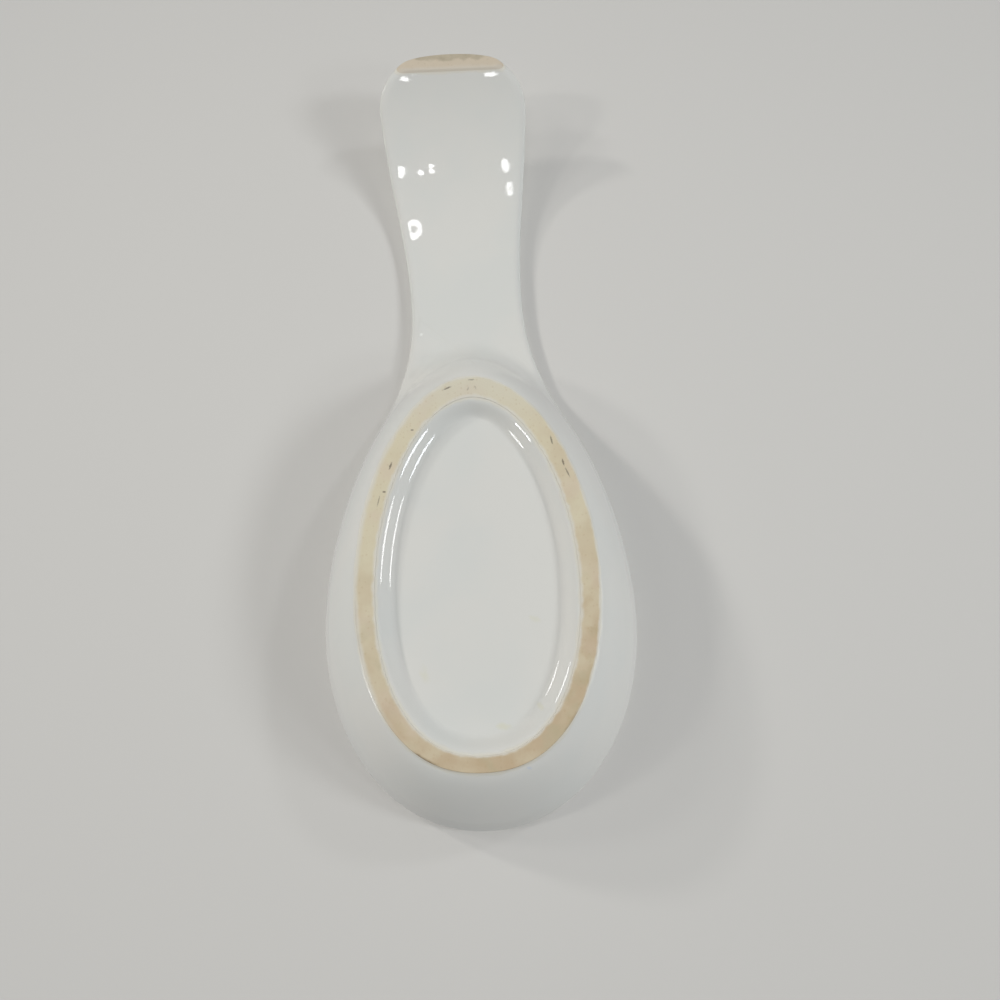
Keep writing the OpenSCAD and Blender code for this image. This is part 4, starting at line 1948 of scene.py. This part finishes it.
@dataclass(frozen=True)
class RingLamp:
    """A bright lamp or window, seen only as a highlight in the glaze.

    Attributes:
        name: The lamp's name.
        place: Its middle, in millimetres.
        width: Its width, in millimetres.
        height: Its height, in millimetres.
        hole: Share of its width that its dark middle takes.
        strength: How bright it is.
        colour: Its colour.
        turn: How far its width is turned in its own plane, in degrees.
        sides: How many sides its outline has.
    """

    name: str
    place: Place
    width: float
    height: float
    hole: float = 0.0
    strength: float = 14.0
    colour: Colour = (1.0, 1.0, 1.0)
    turn: float = 0.0
    sides: int = 48

    def build(self) -> None:
        """Adds the lamp as a flat ring that faces the piece.

        Formula: two turned ellipses round the same middle, joined side by side.
        """
        turns = np.linspace(0.0, 2.0 * np.pi, self.sides, endpoint=False)
        oval = np.stack([np.cos(turns) * self.width, np.sin(turns) * self.height, 0.0 * turns]) / 2
        sine, cosine = math.sin(math.radians(self.turn)), math.cos(math.radians(self.turn))
        oval = (np.array([(cosine, -sine, 0), (sine, cosine, 0), (0, 0, 1)]) @ oval).T
        index = np.arange(self.sides)
        ahead = np.roll(index, -1)
        faces = np.stack([index, ahead, ahead + self.sides, index + self.sides], axis=1).tolist()
        rings = np.concatenate([oval, oval * self.hole])
        lamp = hang_glow(self.name, self.place, rings, faces, self.strength, self.colour)
        lamp.visible_diffuse = False


@dataclass(frozen=True)
class World:
    """A plain soft surround, which the camera and the glaze see in the sheets' own tone.

    Attributes:
        strength: How bright it is.
        colour: Its colour.
        seen: Its colour as the camera sees it, and as the glaze mirrors it.
    """

    strength: float = 0.36
    colour: Colour = (1.0, 1.0, 0.995)
    seen: Colour = (0.49, 0.485, 0.47)

    def build(self) -> None:
        """Sets the world.

        Formula: the camera's and the glaze's own rays see its shown colour, and all others its
        light.
        """
        world = bpy.data.worlds.new("world")
        bpy.context.scene.world = world
        wiring = Wiring.emptied(world)
        light = wiring.node("Background", Color=self.colour, Strength=self.strength)
        shown = wiring.node("Background", Color=self.seen, Strength=1.0)
        rays = wiring.node("LightPath").outputs
        seen = wiring.maths("MAXIMUM", rays["Is Camera Ray"], rays["Is Glossy Ray"])
        mixed = wiring.node("MixShader", Fac=seen)
        wiring.feed(mixed.inputs[1], light.outputs[0])
        wiring.feed(mixed.inputs[2], shown.outputs[0])
        wiring.node("OutputWorld", Surface=mixed.outputs[0])


@dataclass(frozen=True)
class Card:
    """A card that no camera sees: a dark one shades a side, a glowing one hides highlight lamps.

    Attributes:
        name: The card's name.
        place: Its middle, in millimetres.
        width: Its width, in millimetres.
        height: Its height, in millimetres.
        glow: How bright it looks in the glaze; a dark card doesn't show there at all.
    """

    name: str
    place: Place
    width: float
    height: float
    glow: float = 0.0

    def build(self) -> None:
        """Adds the card, turned to face the piece.

        Only a glowing card shows in the glaze, and only a dark one takes light from the rest.
        """
        corners, faces = rectangle(self.width, self.height), [[0, 1, 2, 3]]
        card = hang_glow(self.name, self.place, corners, faces, self.glow, (1.0, 1.0, 1.0))
        card.visible_glossy = self.glow > 0.0
        card.visible_diffuse = self.glow == 0.0


SOFT_LAMPS = (
    SoftLamp("left_lamp", 66.5, 146.0, 4.7, 115.0, WARM),
    SoftLamp("left_high_lamp", 60.0, 156.0, 2.2, 180.0, WARM),
    SoftLamp("left_low_lamp", 58.0, 182.0, 2.6, 150.0, WARM),
    SoftLamp("left_near_lamp", 45.0, 170.0, 0.7, 200.0, WARM),
    SoftLamp("right_high_lamp", 57.0, 34.0, 2.2, 130.0, COOL),
    SoftLamp("right_lamp", 60.0, 353.0, 5.0, 280.0, COOL),
    SoftLamp("right_low_lamp", 62.0, 332.0, 1.7, 200.0, COOL),
    SoftLamp("near_lamp", 20.0, 250.0, 1.7, 400.0),
    SoftLamp("ceiling_lamp", 20.0, 60.0, 0.6, 400.0),
)

TOP_LAMPS = (
    SoftLamp("top_left_lamp", 30.0, 140.0, 6.0, 220.0, WARM, below=False),
    SoftLamp("top_right_lamp", 34.0, 340.0, 3.6, 250.0, COOL, below=False),
    SoftLamp("top_lamp", 12.0, 60.0, 1.6, 500.0, below=False),
)

RING_LAMPS = (
    RingLamp("big_ring_lamp", (166.9, 769.3, -1411.3), 160.0, 37.0, 0.42, turn=80.0),
    RingLamp("left_ring_lamp", (189.5, 314.8, -1560.5), 105.0, 20.0, 0.0, 20.0, turn=61.5),
    RingLamp("dot_lamp_1", (142.0, 326.9, -1562.4), 48.0, 13.0, 0.0, 20.0, turn=65.6),
    RingLamp("dot_lamp_2", (118.4, 275.5, -1571.6), 42.0, 13.0, 0.0, 20.0, turn=68.0),
    RingLamp("dot_lamp_3", (117.2, 319.3, -1565.0), 36.0, 13.0, 0.0, 20.0, turn=68.0),
    RingLamp("right_ring_lamp_1", (-50.4, 295.9, -1571.9), 130.0, 15.0, 0.0, 16.0, turn=98.9),
    RingLamp("right_ring_lamp_2", (-57.7, 496.8, -1527.8), 127.0, 14.0, 0.3, turn=96.8),
    RingLamp("tip_lamp_1", (165.0, -482.0, -1476.0), 20.0, 44.0, 0.0, 16.0),
    RingLamp("tip_lamp_2", (-26.3, -492.6, -1479.6), 26.0, 40.0, 0.0, 16.0),
    RingLamp("right_window_lamp", (-1440.0, 110.0, -650.0), 300.0, 260.0, 0.0, 12.0),
    RingLamp("right_low_window_lamp", (-1330.0, -330.0, -740.0), 480.0, 400.0, colour=SKY),
    RingLamp("left_window_lamp", (1180.0, 620.0, -700.0), 300.0, 260.0, 0.0, 12.0),
    RingLamp("left_low_window_lamp", (1310.0, -400.0, -780.0), 300.0, 270.0, 0.45, 24.0),
    RingLamp("top_window_lamp", (90.0, -130.0, 1500.0), 300.0, 240.0, 0.0, 9.0),
)

CARDS = (
    Card("near_card", (0.0, -860.0, -180.0), 1400.0, 370.0),
    Card("far_card", (0.0, 860.0, -290.0), 1250.0, 600.0),
    Card("well_card", (0.0, -10.0, -60.0), 116.0, 184.0, SURROUND),
    Card("left_card", (62.0, 0.0, -16.0), 250.0, 26.0, SURROUND),
    Card("right_card", (-62.0, 0.0, -16.0), 250.0, 26.0, SURROUND),
)


def light_stage(high: float) -> None:
    """Sets the sheets, the camera, the world and the lamps.

    Args:
        high: Height of the piece's highest point, just under the cloth, in millimetres.
    """
    Sheet("cloth", high + CLOTH_GAP, faces_up=False).build()
    Sheet("table", -TABLE_GAP, faces_up=True).build()
    Camera().build()
    World().build()
    for item in SOFT_LAMPS + TOP_LAMPS + CARDS + RING_LAMPS:
        item.build()


def write_sizes() -> None:
    """Updates the view layer.
    """
    bpy.context.view_layer.update()


def main() -> None:
    """Builds the pieces in order, dresses them, and sets the stage."""
    logging.basicConfig(level=logging.INFO, format="%(name)s: %(message)s")
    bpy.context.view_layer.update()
    bpy.context.scene.view_settings.view_transform = "Standard"
    form = Porcelain.from_frame()
    columns, handle, glaze, clay = Columns(form), Handle(form), Glaze(), InnerClay()
    dish, well = DishCoat(form, columns), WellCoat(form, columns)
    settle(dish.build(), glaze, Slot.GLAZE, "bowl_glaze")
    settle(well.build(), glaze, Slot.GLAZE, "well_glaze")
    settle(handle.coat(), glaze, Slot.GLAZE, "handle_glaze")
    settle(DishClay(dish, well).build(), clay, Slot.CLAY, "bowl")
    settle(handle.clay(), clay, Slot.CLAY, "handle")
    settle(FootRing(form, columns).build(), BareClay(), Slot.BARE, "foot_ring")
    settle(handle.tip(), TipClay(), Slot.BARE, "handle_foot")
    light_stage(form.rim_height)
    write_sizes()


if __name__ == "__main__":
    main()
